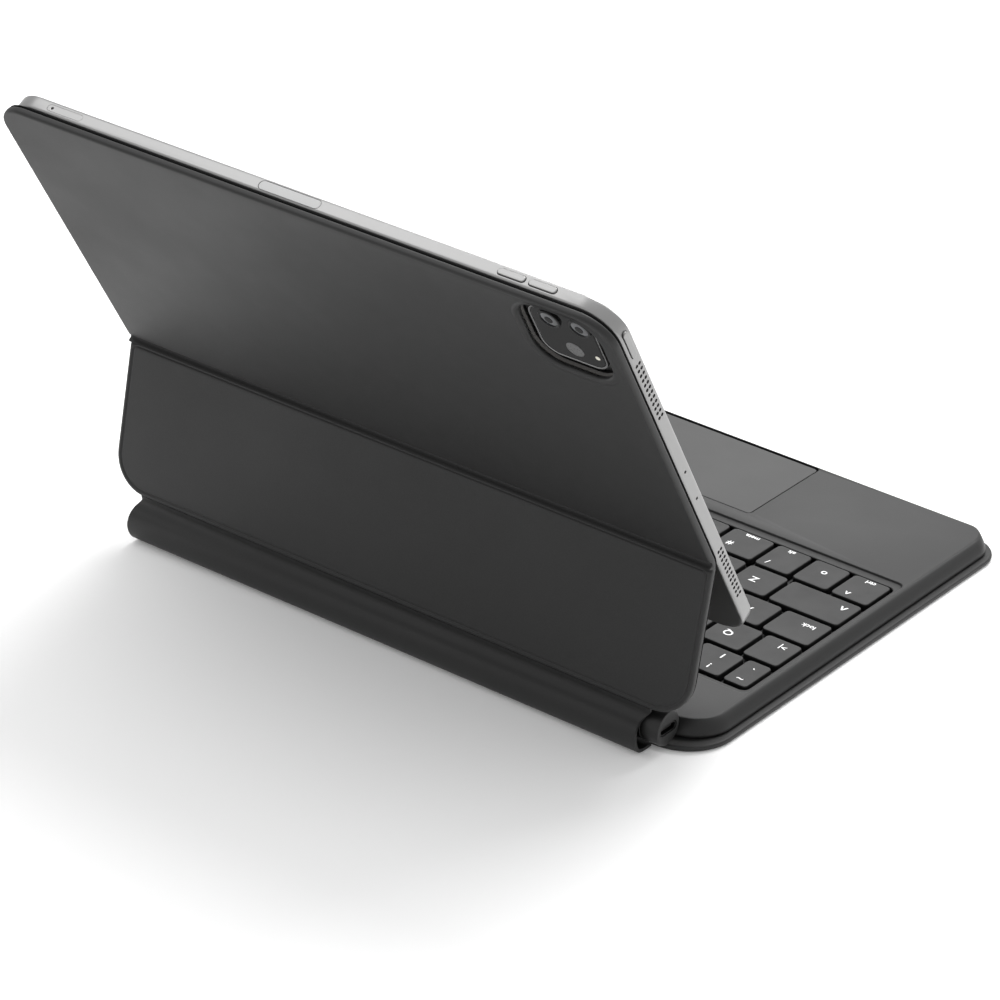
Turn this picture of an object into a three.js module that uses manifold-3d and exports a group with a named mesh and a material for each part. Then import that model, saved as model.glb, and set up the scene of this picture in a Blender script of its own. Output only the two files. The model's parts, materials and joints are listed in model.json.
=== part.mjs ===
// Tablet keyboard case, shown open with a tablet held on its upper panel.
// Millimetres. X runs to the typist's right, Y from the typist towards the hinge, Z up.
// The origin is on the underside of the keyboard base, at the middle of its footprint.
import * as THREE from 'three';
import { mergeVertices } from 'three/addons/utils/BufferGeometryUtils.js';
import Module from 'manifold-3d';

const wasm = await Module();
wasm.setup();

// ---------------------------------------------------------------- driving dimensions

const TABLET = { width: 247.6, height: 178.5, thickness: 5.9, corner: 13 };
const COVER = { halfWidth: 125, corner: 12, topOverhang: 1.2, foldAngle: 57.7, flapAngle: 99 };
const HINGE = { y: 95.9, z: 9.8, barrelRadius: 6.4, barrelWall: 1, axleRadius: 2.5 };
const FLAP = { outerOffset: 9.4, lowerEdge: 8.4, creaseAt: 65, lowerCorner: 14 };
const CREASE = { fromTabletBottom: 47.9, rodRadius: 1.3, edgeGap: 1.7 };

// Layers of the cover, measured inwards from its outer face.
const LAYER = { outer: [0, 1.2], board: [1.4, 2.5], inner: [2.7, 3.5], tabletBack: 3.8 };
const PIVOT_DEPTH = 1.9;

const BASE = { halfWidth: 125.4, front: -101.5, rear: 94.6, frontCorner: 13, rearCorner: 19, skin: 2 };
const DECK = { halfWidth: 122.8, front: -99.6, rear: 88.2, bottom: 2.3, top: 7.8, plate: 1.6, wall: 1.6 };
const WELL = { halfWidth: 118, front: -44.3, rear: 57.4, depth: 0.8 };
const KEYBED = { halfWidth: 116.4, front: -40.4, rear: 54.7 };
const TRACKPAD = { halfWidth: 46, front: -97.6, rear: -51.4, top: 7.7, thickness: 1.3, gap: 0.4 };
const KEY = { left: -115.5, right: 115.5, top: 7.5, bottom: 5, gapX: 1.5, gapY: 1.8, corner: 1.8 };
const CAMERA = { x: -104.2, up: 114.5, window: 31, windowCorner: 10 };
const PLATEAU = { x: -104.7, up: 115.7, size: 25.6, corner: 6.5, back: -2.6 };
const CLEAR = 0.3;

// Front edge and depth of each key row, from the space bar row to the number row.
const ROW_PITCH = 18.9;
const FIRST_ROW = -39.5;
const LETTER_PITCH = 18;

// ---------------------------------------------------------------- finishes

function finish(color, roughness, metalness) {
  return new THREE.MeshStandardMaterial({ color, roughness, metalness });
}

const coverSkin = finish(0x3c3c3e, 0.72, 0);
const innerSkin = finish(0x343436, 0.9, 0);
const board = finish(0x5c5c58, 0.7, 0);
const deckCoat = finish(0x4c4c4e, 0.55, 0);
const keyPlastic = finish(0x39393b, 0.5, 0);
const blackPlastic = finish(0x111112, 0.6, 0);
const trackpadGlass = finish(0x505052, 0.35, 0);
const hingeMetal = finish(0x48484a, 0.4, 0.9);
const steel = finish(0x8f9093, 0.35, 1);
const magnetMetal = finish(0x9a9a9c, 0.4, 1);
const boardGreen = finish(0x1e3a2c, 0.6, 0);
const goldContact = finish(0xb89a58, 0.3, 1);
const tabletMetal = finish(0xb4b5b8, 0.35, 1);
const blackGlass = finish(0x08080a, 0.08, 0);
const membrane = finish(0x2a2a2c, 0.7, 0);

// ---------------------------------------------------------------- shape helpers

// A rectangle with one radius for its two low corners and one for its two high corners.
function roundedRect(x0, y0, x1, y1, lowRadius, highRadius = lowRadius) {
  const shape = new THREE.Shape();
  const corners = [
    [x1, y0, lowRadius, -1, 1, -Math.PI / 2], [x1, y1, highRadius, -1, -1, 0],
    [x0, y1, highRadius, 1, -1, Math.PI / 2], [x0, y0, lowRadius, 1, 1, Math.PI],
  ];
  shape.moveTo(x0 + lowRadius, y0);
  for (const [x, y, radius, sideX, sideY, start] of corners) {
    if (radius > 0) {
      shape.absarc(x + sideX * radius, y + sideY * radius, radius, start, start + Math.PI / 2, false);
    } else {
      shape.lineTo(x, y);
    }
  }
  return shape;
}

// A flat plate: the shape in X and Y, from one height to another.
function plate(shape, low, high, arcSteps = 6) {
  const options = { depth: high - low, bevelEnabled: false, curveSegments: arcSteps };
  const geometry = new THREE.ExtrudeGeometry(shape, options);
  geometry.translate(0, 0, low);
  return geometry;
}

// A bar: a profile drawn in Y and Z, run along X from one side to the other.
function bar(profile, fromX, toX, arcSteps = 16) {
  const geometry = plate(profile, fromX, toX, arcSteps);
  const turn = new THREE.Matrix4().makeBasis(
    new THREE.Vector3(0, 1, 0), new THREE.Vector3(0, 0, 1), new THREE.Vector3(1, 0, 0));
  geometry.applyMatrix4(turn);
  return geometry;
}

function block(x0, y0, z0, x1, y1, z1) {
  const geometry = new THREE.BoxGeometry(x1 - x0, y1 - y0, z1 - z0);
  geometry.translate((x0 + x1) / 2, (y0 + y1) / 2, (z0 + z1) / 2);
  return geometry;
}

function circle(radius, cy = 0, cz = 0) {
  const shape = new THREE.Shape();
  shape.absarc(cy, cz, radius, 0, Math.PI * 2, false);
  return shape;
}

function polygon(points) {
  return new THREE.Shape(points.map(([x, y]) => new THREE.Vector2(x, y)));
}

// A band of even thickness that follows a smooth line through the points, on its left side.
function band(points, thickness, steps) {
  const curve = new THREE.SplineCurve(points.map(([x, y]) => new THREE.Vector2(x, y)));
  const outer = curve.getSpacedPoints(steps);
  const inner = outer.map((point, index) => {
    const tangent = curve.getTangentAt(index / steps);
    return new THREE.Vector2(point.x - tangent.y * thickness, point.y + tangent.x * thickness);
  });
  return new THREE.Shape([...outer, ...inner.reverse()]);
}

// ---------------------------------------------------------------- booleans

function solid(geometry) {
  const plain = geometry.clone();
  plain.deleteAttribute('normal');
  plain.deleteAttribute('uv');
  const merged = mergeVertices(plain, 1e-4);
  const vertProperties = new Float32Array(merged.attributes.position.array);
  const triVerts = new Uint32Array(merged.index.array);
  return new wasm.Manifold(new wasm.Mesh({ numProp: 3, vertProperties, triVerts }));
}

function surface(manifold) {
  const mesh = manifold.getMesh();
  const geometry = new THREE.BufferGeometry();
  geometry.setAttribute('position', new THREE.BufferAttribute(new Float32Array(mesh.vertProperties), 3));
  geometry.setIndex(new THREE.BufferAttribute(new Uint32Array(mesh.triVerts), 1));
  const flat = geometry.toNonIndexed();
  flat.computeVertexNormals();
  return flat;
}

function cut(body, ...tools) {
  return surface(tools.reduce((rest, tool) => rest.subtract(solid(tool)), solid(body)));
}

function join(...pieces) {
  return surface(pieces.slice(1).reduce((sum, piece) => sum.add(solid(piece)), solid(pieces[0])));
}

// ---------------------------------------------------------------- assembly frame

const keyboardCase = new THREE.Group();
const base = new THREE.Group();
const flap = new THREE.Group();
const panel = new THREE.Group();
keyboardCase.add(base, flap, panel);

// The flap's own Y runs up the flap from the hinge axis, and its own Z points to the typist.
flap.position.set(0, HINGE.y, HINGE.z);
flap.rotation.x = THREE.MathUtils.degToRad(COVER.flapAngle);
flap.updateMatrixWorld(true);

// The upper panel turns about the crease, which lies half way through the cover.
const creasePoint = new THREE.Vector3(0, FLAP.creaseAt, -FLAP.outerOffset + PIVOT_DEPTH);
flap.localToWorld(creasePoint);
panel.position.copy(creasePoint);
panel.rotation.x = THREE.MathUtils.degToRad(COVER.foldAngle);

function add(group, name, geometry, material) {
  const mesh = new THREE.Mesh(geometry, material);
  mesh.name = name;
  group.add(mesh);
}

// ---------------------------------------------------------------- keyboard base

function baseOutline(inset, extraFront = 0, extraRear = 0) {
  return roundedRect(
    -BASE.halfWidth + inset, BASE.front + inset + extraFront,
    BASE.halfWidth - inset, BASE.rear - inset - extraRear,
    BASE.frontCorner - inset * 0.6, BASE.rearCorner - inset * 0.6);
}

function deckOutline(inset) {
  return roundedRect(
    -DECK.halfWidth + inset, DECK.front + inset, DECK.halfWidth - inset, DECK.rear - inset,
    BASE.frontCorner - 2 - inset * 0.5, BASE.rearCorner - 3 - inset * 0.5);
}

function makeDeck() {
  const plateBottom = DECK.top - DECK.plate;
  const shell = plate(deckOutline(0), DECK.bottom, DECK.top);
  const hollow = plate(deckOutline(DECK.wall), DECK.bottom - 1, plateBottom);
  const wellShape = roundedRect(-WELL.halfWidth, WELL.front, WELL.halfWidth, WELL.rear, 3);
  const well = plate(wellShape, DECK.top - WELL.depth, DECK.top + 1);
  const bedShape = roundedRect(
    -KEYBED.halfWidth, KEYBED.front, KEYBED.halfWidth, KEYBED.rear, KEY.corner + 0.9);
  const keyOpening = plate(bedShape, DECK.bottom, DECK.top + 1);
  const padShape = roundedRect(
    -TRACKPAD.halfWidth - TRACKPAD.gap, TRACKPAD.front - TRACKPAD.gap,
    TRACKPAD.halfWidth + TRACKPAD.gap, TRACKPAD.rear + TRACKPAD.gap, 2);
  const padOpening = plate(padShape, DECK.bottom, DECK.top + 1);
  return cut(shell, hollow, well, keyOpening, padOpening);
}

const TRAY = { bottom: 2.3, top: 3.1, inset: 4.6, rear: 8.6 };
add(base, 'base_skin', plate(baseOutline(0), 0, BASE.skin), coverSkin);
add(base, 'base_tray', plate(baseOutline(TRAY.inset, 0, TRAY.rear - TRAY.inset), TRAY.bottom, TRAY.top), steel);
add(base, 'deck_top', makeDeck(), deckCoat);

const BOARD_FLOOR = TRAY.top + CLEAR;
add(base, 'controller_board', block(-102, -88, BOARD_FLOOR, -58, -60, BOARD_FLOOR + 1.2), boardGreen);
for (const [side, name] of [[-1, 'closing_magnet_left'], [1, 'closing_magnet_right']]) {
  const middle = side * 86;
  add(base, name, block(middle - 12, -96, BOARD_FLOOR, middle + 12, -90, BOARD_FLOOR + 2), magnetMetal);
}

// ---------------------------------------------------------------- keys

// Each row lists its keys from the typist's left as [name, width to the next key].
const letters = (first, count) =>
  Array.from({ length: count }, (_, index) => [`${first}_${index}`, LETTER_PITCH]);
const ROWS = [
  [['control', 17], ['globe', 16.4], ['option', 16.2], ['command', 19.3], ['space', 81.5],
    ['right_command', 17], ['right_option', 14.9], ['arrow_left', 16.2], ['arrow_up_down', 16.2],
    ['arrow_right', 17.8]],
  [['left_shift', 31], ...letters('bottom', 10), ['right_shift', 21.5]],
  [['caps_lock', 20.9], ...letters('home', 10), ['quote', 11.4], ['return', 20.2]],
  [['tab', 16.2], ...letters('upper', 10), ['bracket_left', 11.6], ['bracket_right', 11.6],
    ['backslash', 13.1]],
  [['backtick', 11.4], ...letters('digit', 10), ['minus', 12.2], ['equals', 12.2], ['delete', 16.7]],
];
const ROW_NAMES = ['space_row', 'bottom_row', 'home_row', 'upper_row', 'number_row'];

// Keys that are pieces of their own; the rest of a row is one piece on a hidden web.
const SINGLE_KEYS = {
  control: 'key_control', globe: 'key_globe', option: 'key_option', command: 'key_command',
  space: 'key_space', left_shift: 'key_left_shift', bottom_0: 'key_z', caps_lock: 'key_caps_lock',
  tab: 'key_tab', backtick: 'key_backtick', digit_0: 'key_1', return: 'key_return',
};

function keyBoxes(row, index) {
  const front = FIRST_ROW + index * ROW_PITCH;
  let left = KEY.left - KEY.gapX / 2;
  return row.map(([name, width]) => {
    const box = {
      name, x0: left + KEY.gapX / 2, x1: left + width - KEY.gapX / 2,
      y0: front, y1: front + ROW_PITCH - KEY.gapY,
    };
    left += width;
    return box;
  });
}

// A key outline with its corners cut off straight.
function clippedRect({ x0, y0, x1, y1 }, clip) {
  return polygon([
    [x0 + clip, y0], [x1 - clip, y0], [x1, y0 + clip], [x1, y1 - clip],
    [x1 - clip, y1], [x0 + clip, y1], [x0, y1 - clip], [x0, y0 + clip],
  ]);
}

const KEY_ARC = 2;
const WEB = { halfDepth: 3, bottom: 5.9, top: 6.4 };
const FRAME = { bottom: 4.15, top: 4.7, grow: 0.3 };
const DOME_SHEET = { bottom: BOARD_FLOOR, top: 3.85 };

const frameHoles = [];
const frameShape = roundedRect(
  -KEYBED.halfWidth + CLEAR, KEYBED.front + CLEAR, KEYBED.halfWidth - CLEAR, KEYBED.rear - CLEAR, 0.3);

ROWS.forEach((row, index) => {
  const boxes = keyBoxes(row, index);
  const rest = [];
  for (const box of boxes) {
    frameHoles.push(block(
      box.x0 - FRAME.grow, box.y0 - FRAME.grow, FRAME.bottom - 1,
      box.x1 + FRAME.grow, box.y1 + FRAME.grow, FRAME.top + 1));
    if (box.name in SINGLE_KEYS) {
      const shape = roundedRect(box.x0, box.y0, box.x1, box.y1, KEY.corner);
      add(base, SINGLE_KEYS[box.name], plate(shape, KEY.bottom, KEY.top, KEY_ARC), keyPlastic);
    } else {
      rest.push({ box, cap: plate(clippedRect(box, KEY.corner * 0.4), KEY.bottom, KEY.top) });
    }
  }
  const webs = [];
  for (let i = 1; i < rest.length; i += 1) {
    const before = rest[i - 1].box;
    const after = rest[i].box;
    const middleY = (before.y0 + before.y1) / 2;
    if (after.x0 - before.x1 < KEY.gapX + 0.1) {
      webs.push(block(
        before.x1 - 1, middleY - WEB.halfDepth, WEB.bottom,
        after.x0 + 1, middleY + WEB.halfDepth, WEB.top));
    }
  }
  add(base, `keys_${ROW_NAMES[index]}`, join(...rest.map((item) => item.cap), ...webs), keyPlastic);
});

const sheetShape = roundedRect(
  -KEYBED.halfWidth + 1, KEYBED.front + 1, KEYBED.halfWidth - 1, KEYBED.rear - 1, 2);
add(base, 'keyboard_frame', cut(plate(frameShape, FRAME.bottom, FRAME.top, 1), ...frameHoles), blackPlastic);
add(base, 'dome_sheet', plate(sheetShape, DOME_SHEET.bottom, DOME_SHEET.top), membrane);

// ---------------------------------------------------------------- trackpad

const padPlate = plate(
  roundedRect(-TRACKPAD.halfWidth, TRACKPAD.front, TRACKPAD.halfWidth, TRACKPAD.rear, 1.6),
  TRACKPAD.top - TRACKPAD.thickness, TRACKPAD.top, 4);
add(base, 'trackpad_plate', padPlate, trackpadGlass);

const switchDome = new THREE.CylinderGeometry(3, 4.5, 1.2, 12);
switchDome.rotateX(Math.PI / 2);
switchDome.translate(0, -74.5, BOARD_FLOOR + 1.4);
const switchBoard = block(-30, -86, BOARD_FLOOR, 30, -63, BOARD_FLOOR + 1);
add(base, 'trackpad_switch', join(switchBoard, switchDome), boardGreen);

// ---------------------------------------------------------------- hinge

const BARREL = { left: -106.2, right: 112 };
const SLOT = { from: 52, to: 158, reach: 9 };
const ARM = { inner: 62, outer: 86, hub: 3.9, leafTop: 21, leafBottom: 9 };
const innerRadius = HINGE.barrelRadius - HINGE.barrelWall;

function onAxis(geometry) {
  geometry.translate(0, HINGE.y, HINGE.z);
  return geometry;
}

function ringShape(outer, inner) {
  const shape = circle(outer);
  shape.holes.push(circle(inner));
  return shape;
}

// The barrel is a tube with two windows that the hinge arms swing through.
function makeBarrel() {
  const tube = bar(ringShape(HINGE.barrelRadius, innerRadius), BARREL.left, BARREL.right);
  const wedge = new THREE.Shape();
  wedge.moveTo(0, 0);
  wedge.absarc(
    0, 0, SLOT.reach, THREE.MathUtils.degToRad(SLOT.from), THREE.MathUtils.degToRad(SLOT.to), false);
  wedge.lineTo(0, 0);
  const windows = [-1, 1].map((side) => {
    const ends = [side * (ARM.inner - 1), side * (ARM.outer + 1)].sort((a, b) => a - b);
    return bar(wedge, ends[0], ends[1], 6);
  });
  return onAxis(cut(tube, ...windows));
}

// A USB-C socket lies flat across the end of the barrel.
const PORT = { width: 8.9, height: 3.2, wall: 0.35, depth: 7 };
function pill(width, height) {
  return roundedRect(-width / 2, -height / 2, width / 2, height / 2, height / 2 - 0.01);
}

function makePort() {
  const back = -106.5;
  const mouth = back - PORT.depth + CLEAR;
  const hollow = pill(PORT.width - 2 * PORT.wall, PORT.height - 2 * PORT.wall);
  const shell = cut(bar(pill(PORT.width, PORT.height), mouth, back, 4), bar(hollow, mouth - 1, back - 1, 4));
  const tongue = bar(roundedRect(-3.1, -0.35, 3.1, 0.35, 0.1), mouth + 0.8, back - 0.5, 2);
  return onAxis(join(shell, tongue));
}

function makeLeftCap() {
  const disc = bar(circle(HINGE.barrelRadius), -113.5, -106.5);
  const socket = bar(pill(PORT.width + 2 * CLEAR, PORT.height + 2 * CLEAR), -115, -105, 4);
  return onAxis(cut(disc, socket));
}

add(base, 'hinge_barrel', makeBarrel(), hingeMetal);
add(base, 'barrel_cap_left', makeLeftCap(), hingeMetal);
add(base, 'barrel_cap_right', onAxis(bar(circle(HINGE.barrelRadius), 112.3, 114.8)), hingeMetal);
add(base, 'usb_c_port', makePort(), steel);

for (const [side, word] of [[-1, 'left'], [1, 'right']]) {
  const bush = bar(ringShape(innerRadius - CLEAR, HINGE.axleRadius + CLEAR), 97, 101);
  bush.translate(side < 0 ? -198 : 0, 0, 0);
  add(base, `hinge_bushing_${word}`, onAxis(bush), blackPlastic);

  // A friction clip is a split ring that grips the axle.
  const ring = bar(ringShape(4.3, HINGE.axleRadius + 0.25), 88.5, 94.5);
  const split = block(80, 0, -0.6, 100, 6, 0.6);
  const clip = cut(ring, split);
  clip.translate(side < 0 ? -183 : 0, 0, 0);
  add(base, `friction_clip_${word}`, onAxis(clip), steel);
}

// The spine cover bulges round the barrel from the base skin up to the flap.
const SPINE = { left: -107, right: 115.4, thickness: 1.2 };
const spineLine = [
  [95.6, 0.3], [100.4, 0.3], [103.2, 1.5], [105.1, 4.6],
  [105.7, 9], [104.6, 13.2], [103.7, 16], [103.9, 18.6],
];
add(base, 'spine_cover', bar(band(spineLine, SPINE.thickness, 20), SPINE.left, SPINE.right), coverSkin);

// ---------------------------------------------------------------- lower flap

// Depths are measured inwards from the outer face of the cover.
function flapLayer(depths, inset = 0) {
  const shape = roundedRect(
    -COVER.halfWidth + inset, FLAP.lowerEdge + inset,
    COVER.halfWidth - inset, FLAP.creaseAt - CREASE.edgeGap, FLAP.lowerCorner - inset, 0);
  return plate(shape, -FLAP.outerOffset + depths[0], -FLAP.outerOffset + depths[1], 8);
}

const leafLow = -FLAP.outerOffset + LAYER.board[0];
const leafHigh = -FLAP.outerOffset + LAYER.board[1];

function makeArm(side) {
  const strap = polygon([
    [ARM.leafTop, leafLow], [ARM.leafTop, leafHigh], [10.4, leafHigh],
    [2.9, -1], [2.6, -2.4], [ARM.leafBottom, leafLow],
  ]);
  const ends = [side * ARM.inner, side * ARM.outer].sort((a, b) => a - b);
  const arm = join(bar(circle(ARM.hub), ends[0], ends[1]), bar(strap, ends[0], ends[1]));
  return cut(arm, bar(circle(HINGE.axleRadius + 0.25), ends[0] - 1, ends[1] + 1));
}

function makeFlapBoard() {
  const pockets = [-1, 1].map((side) => {
    const ends = [side * (ARM.inner - CLEAR), side * (ARM.outer + CLEAR)].sort((a, b) => a - b);
    return block(ends[0], 0, leafLow - 1, ends[1], ARM.leafTop + CLEAR, leafHigh + 1);
  });
  return cut(flapLayer(LAYER.board, 1), ...pockets);
}

add(flap, 'hinge_axle', bar(circle(HINGE.axleRadius), -104, 104, 12), steel);
add(flap, 'hinge_arm_left', makeArm(-1), steel);
add(flap, 'hinge_arm_right', makeArm(1), steel);
add(flap, 'flap_outer_skin', flapLayer(LAYER.outer), coverSkin);
add(flap, 'flap_board', makeFlapBoard(), board);
add(flap, 'flap_inner_skin', flapLayer(LAYER.inner, 2.5), innerSkin);

// The crease rod is held by the flap and runs the whole width between flap and panel.
const creaseRod = bar(circle(CREASE.rodRadius), -122, 122, 10);
creaseRod.translate(0, FLAP.creaseAt, -FLAP.outerOffset + PIVOT_DEPTH);
add(flap, 'crease_rod', creaseRod, steel);

// ---------------------------------------------------------------- upper panel

const panelTop = TABLET.height - CREASE.fromTabletBottom + COVER.topOverhang;

function depthToZ(depth) {
  return depth - PIVOT_DEPTH;
}

function panelShape(inset = 0) {
  return roundedRect(
    -COVER.halfWidth + inset, CREASE.edgeGap, COVER.halfWidth - inset, panelTop - inset,
    0, COVER.corner - inset);
}

function cameraWindow() {
  const half = CAMERA.window / 2;
  const shape = roundedRect(
    CAMERA.x - half, CAMERA.up - half, CAMERA.x + half, CAMERA.up + half, CAMERA.windowCorner);
  return plate(shape, -5, 5);
}

function panelLayer(depths, inset, ...cuts) {
  const sheet = plate(panelShape(inset), depthToZ(depths[0]), depthToZ(depths[1]), 8);
  return cut(sheet, cameraWindow(), ...cuts);
}

// Magnets sit in pockets of the stiffening board.
const MAGNET = { halfLength: 26, halfWidth: 9, up: 66, out: 64, thickness: 0.9 };
const magnetMiddles = [-MAGNET.out, MAGNET.out];
const pocket = (middle, grow) => block(
  middle - MAGNET.halfLength - grow, MAGNET.up - MAGNET.halfWidth - grow, -3,
  middle + MAGNET.halfLength + grow, MAGNET.up + MAGNET.halfWidth + grow, 3);

// Three sprung contacts meet the pads on the back of the tablet.
const CONTACT = { up: 24, halfLength: 13, halfWidth: 4, pitch: 6.4, pinRadius: 1.5 };
const contactOpening = plate(
  roundedRect(
    -CONTACT.halfLength - CLEAR, CONTACT.up - CONTACT.halfWidth - CLEAR,
    CONTACT.halfLength + CLEAR, CONTACT.up + CONTACT.halfWidth + CLEAR, 3),
  depthToZ(LAYER.inner[0]) - 0.5, depthToZ(LAYER.inner[1]) + 0.5);

function makeContactBlock() {
  const face = depthToZ(LAYER.inner[1]) - 0.2;
  const body = plate(
    roundedRect(
      -CONTACT.halfLength, CONTACT.up - CONTACT.halfWidth,
      CONTACT.halfLength, CONTACT.up + CONTACT.halfWidth, 2.7),
    depthToZ(LAYER.inner[0]), face);
  const pins = [-1, 0, 1].map((step) => {
    const pin = new THREE.CylinderGeometry(CONTACT.pinRadius, CONTACT.pinRadius, 0.4, 12);
    pin.rotateX(Math.PI / 2);
    pin.translate(step * CONTACT.pitch, CONTACT.up, face);
    return pin;
  });
  return join(body, ...pins);
}

add(panel, 'panel_outer_skin', panelLayer(LAYER.outer, 0), coverSkin);
add(panel, 'panel_board',
  panelLayer(LAYER.board, 1, ...magnetMiddles.map((middle) => pocket(middle, CLEAR))), board);
add(panel, 'panel_inner_skin', panelLayer(LAYER.inner, 0.4, contactOpening), innerSkin);
add(panel, 'contact_block', makeContactBlock(), goldContact);
for (const [side, name] of [[-1, 'panel_magnet_left'], [1, 'panel_magnet_right']]) {
  const middle = side * MAGNET.out;
  const low = depthToZ(LAYER.board[0]) + 0.1;
  add(panel, name, block(
    middle - MAGNET.halfLength, MAGNET.up - MAGNET.halfWidth, low,
    middle + MAGNET.halfLength, MAGNET.up + MAGNET.halfWidth, low + MAGNET.thickness), magnetMetal);
}

// ---------------------------------------------------------------- tablet

const tablet = new THREE.Group();
tablet.position.set(0, -CREASE.fromTabletBottom, LAYER.tabletBack - PIVOT_DEPTH);
panel.add(tablet);

const halfTablet = TABLET.width / 2;
const HOUSING = { wall: 1.4, floor: 1.1, rimTop: 5.6 };
const GLASS = { inset: 1.7, bottom: 4.3 };
const BUTTON = { width: 2.4, proud: 0.45, depth: 1.9, middle: 2.9 };

function tabletShape(inset) {
  return roundedRect(
    -halfTablet + inset, inset, halfTablet - inset, TABLET.height - inset, TABLET.corner - inset);
}

// Buttons are given by the middle of their length and by that length.
const POWER = { middle: 162.2, length: 12.6 };
const VOLUME = [['tablet_volume_up', -84.7, 10.4], ['tablet_volume_down', -96.6, 10.4]];

function powerButton(grow, fromX, toX) {
  const half = POWER.length / 2 + grow;
  const wide = BUTTON.width / 2 + grow;
  const profile = roundedRect(
    POWER.middle - half, BUTTON.middle - wide, POWER.middle + half, BUTTON.middle + wide, wide - 0.01);
  return bar(profile, fromX, toX, 4);
}

function volumeButton(middle, length, grow, low, high) {
  const half = length / 2 + grow;
  const wide = BUTTON.width / 2 + grow;
  const geometry = plate(
    roundedRect(middle - half, -BUTTON.middle - wide, middle + half, -BUTTON.middle + wide, wide - 0.01),
    low, high, 4);
  geometry.rotateX(-Math.PI / 2);
  return geometry;
}

function makeHousing() {
  const outer = plate(tabletShape(0), 0, HOUSING.rimTop);
  const hollow = plate(tabletShape(HOUSING.wall), HOUSING.floor, HOUSING.rimTop + 1);
  const powerHole = powerButton(0.25, -halfTablet - 1, -halfTablet + HOUSING.wall + 0.5);
  const volumeHoles = VOLUME.map(([, middle, length]) => volumeButton(
    middle, length, 0.25, TABLET.height - HOUSING.wall - 0.5, TABLET.height + 1));
  return cut(outer, hollow, powerHole, ...volumeHoles);
}

const plateauUp = PLATEAU.up + CREASE.fromTabletBottom;
function makePlateau() {
  const half = PLATEAU.size / 2;
  const shape = roundedRect(
    PLATEAU.x - half, plateauUp - half, PLATEAU.x + half, plateauUp + half, PLATEAU.corner);
  return plate(shape, PLATEAU.back, -CLEAR);
}

const LENS = { radius: 4.1, height: 0.7, up: 7.2, wide: 4.3, ultrawide: -7.3 };
function makeLens(alongX) {
  const lens = new THREE.CylinderGeometry(LENS.radius, LENS.radius, LENS.height, 24);
  lens.rotateX(Math.PI / 2);
  lens.translate(PLATEAU.x + alongX, plateauUp + LENS.up, PLATEAU.back - CLEAR - LENS.height / 2);
  return lens;
}

add(tablet, 'tablet_housing', makeHousing(), tabletMetal);
add(tablet, 'tablet_display', plate(tabletShape(GLASS.inset), GLASS.bottom, TABLET.thickness, 8), blackGlass);
add(tablet, 'tablet_camera_plateau', makePlateau(), blackGlass);
add(tablet, 'tablet_lens_wide', makeLens(LENS.wide), blackGlass);
add(tablet, 'tablet_lens_ultrawide', makeLens(LENS.ultrawide), blackGlass);
add(tablet, 'tablet_power_button', powerButton(
  0, -halfTablet - BUTTON.proud, -halfTablet - BUTTON.proud + BUTTON.depth), tabletMetal);
for (const [name, middle, length] of VOLUME) {
  const top = TABLET.height + BUTTON.proud;
  add(tablet, name, volumeButton(middle, length, 0, top - BUTTON.depth, top), tabletMetal);
}

export default keyboardCase;
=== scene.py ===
import json
import math

import bmesh
import bpy
from mathutils import Matrix, Vector


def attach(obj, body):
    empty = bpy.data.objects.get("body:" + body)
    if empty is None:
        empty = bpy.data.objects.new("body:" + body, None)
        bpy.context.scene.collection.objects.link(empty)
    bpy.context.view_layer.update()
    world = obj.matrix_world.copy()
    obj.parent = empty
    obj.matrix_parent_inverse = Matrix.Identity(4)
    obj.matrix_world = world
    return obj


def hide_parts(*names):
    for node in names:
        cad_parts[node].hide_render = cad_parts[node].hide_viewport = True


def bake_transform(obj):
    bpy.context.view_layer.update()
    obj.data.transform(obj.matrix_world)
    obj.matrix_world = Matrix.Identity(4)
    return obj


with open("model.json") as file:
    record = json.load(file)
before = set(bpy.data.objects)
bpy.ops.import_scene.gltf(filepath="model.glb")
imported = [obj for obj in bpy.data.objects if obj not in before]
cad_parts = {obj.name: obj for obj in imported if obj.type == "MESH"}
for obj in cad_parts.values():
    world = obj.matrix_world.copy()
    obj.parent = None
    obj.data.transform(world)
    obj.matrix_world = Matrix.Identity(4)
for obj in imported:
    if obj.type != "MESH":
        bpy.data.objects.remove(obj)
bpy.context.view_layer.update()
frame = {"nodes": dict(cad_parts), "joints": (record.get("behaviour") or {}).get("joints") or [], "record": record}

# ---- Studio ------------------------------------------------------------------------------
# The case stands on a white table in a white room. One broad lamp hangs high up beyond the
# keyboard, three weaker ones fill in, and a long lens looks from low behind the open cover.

CAMERA = {"bearing": 215.65, "height": 27.98, "roll": 3.11, "distance": 1.525, "lens": 155.3}
LOOKED_AT = Vector((0.0036, 0.0355, 0.0298))
SENSOR_WIDTH = 36
# Each lamp is its bearing and height in degrees, its distance, its width and its watts.
SOFTBOXES = {
    "overhead_softbox": (16, 62, 1.5, 0.9, 15),
    "rear_softbox": (105, 60, 1.5, 0.8, 3.2),
    "front_softbox": (32, 20, 1.7, 0.9, 2.5),
    "side_softbox": (342, 38, 1.6, 0.4, 4),
}
ROOM_STRENGTH = 0.86


def unit_from(bearing, height):
    """The direction out to a compass bearing and a height above the table, in degrees."""
    around, up = math.radians(bearing), math.radians(height)
    level = math.cos(up)
    return Vector((math.sin(around) * level, -math.cos(around) * level, math.sin(up)))


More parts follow.
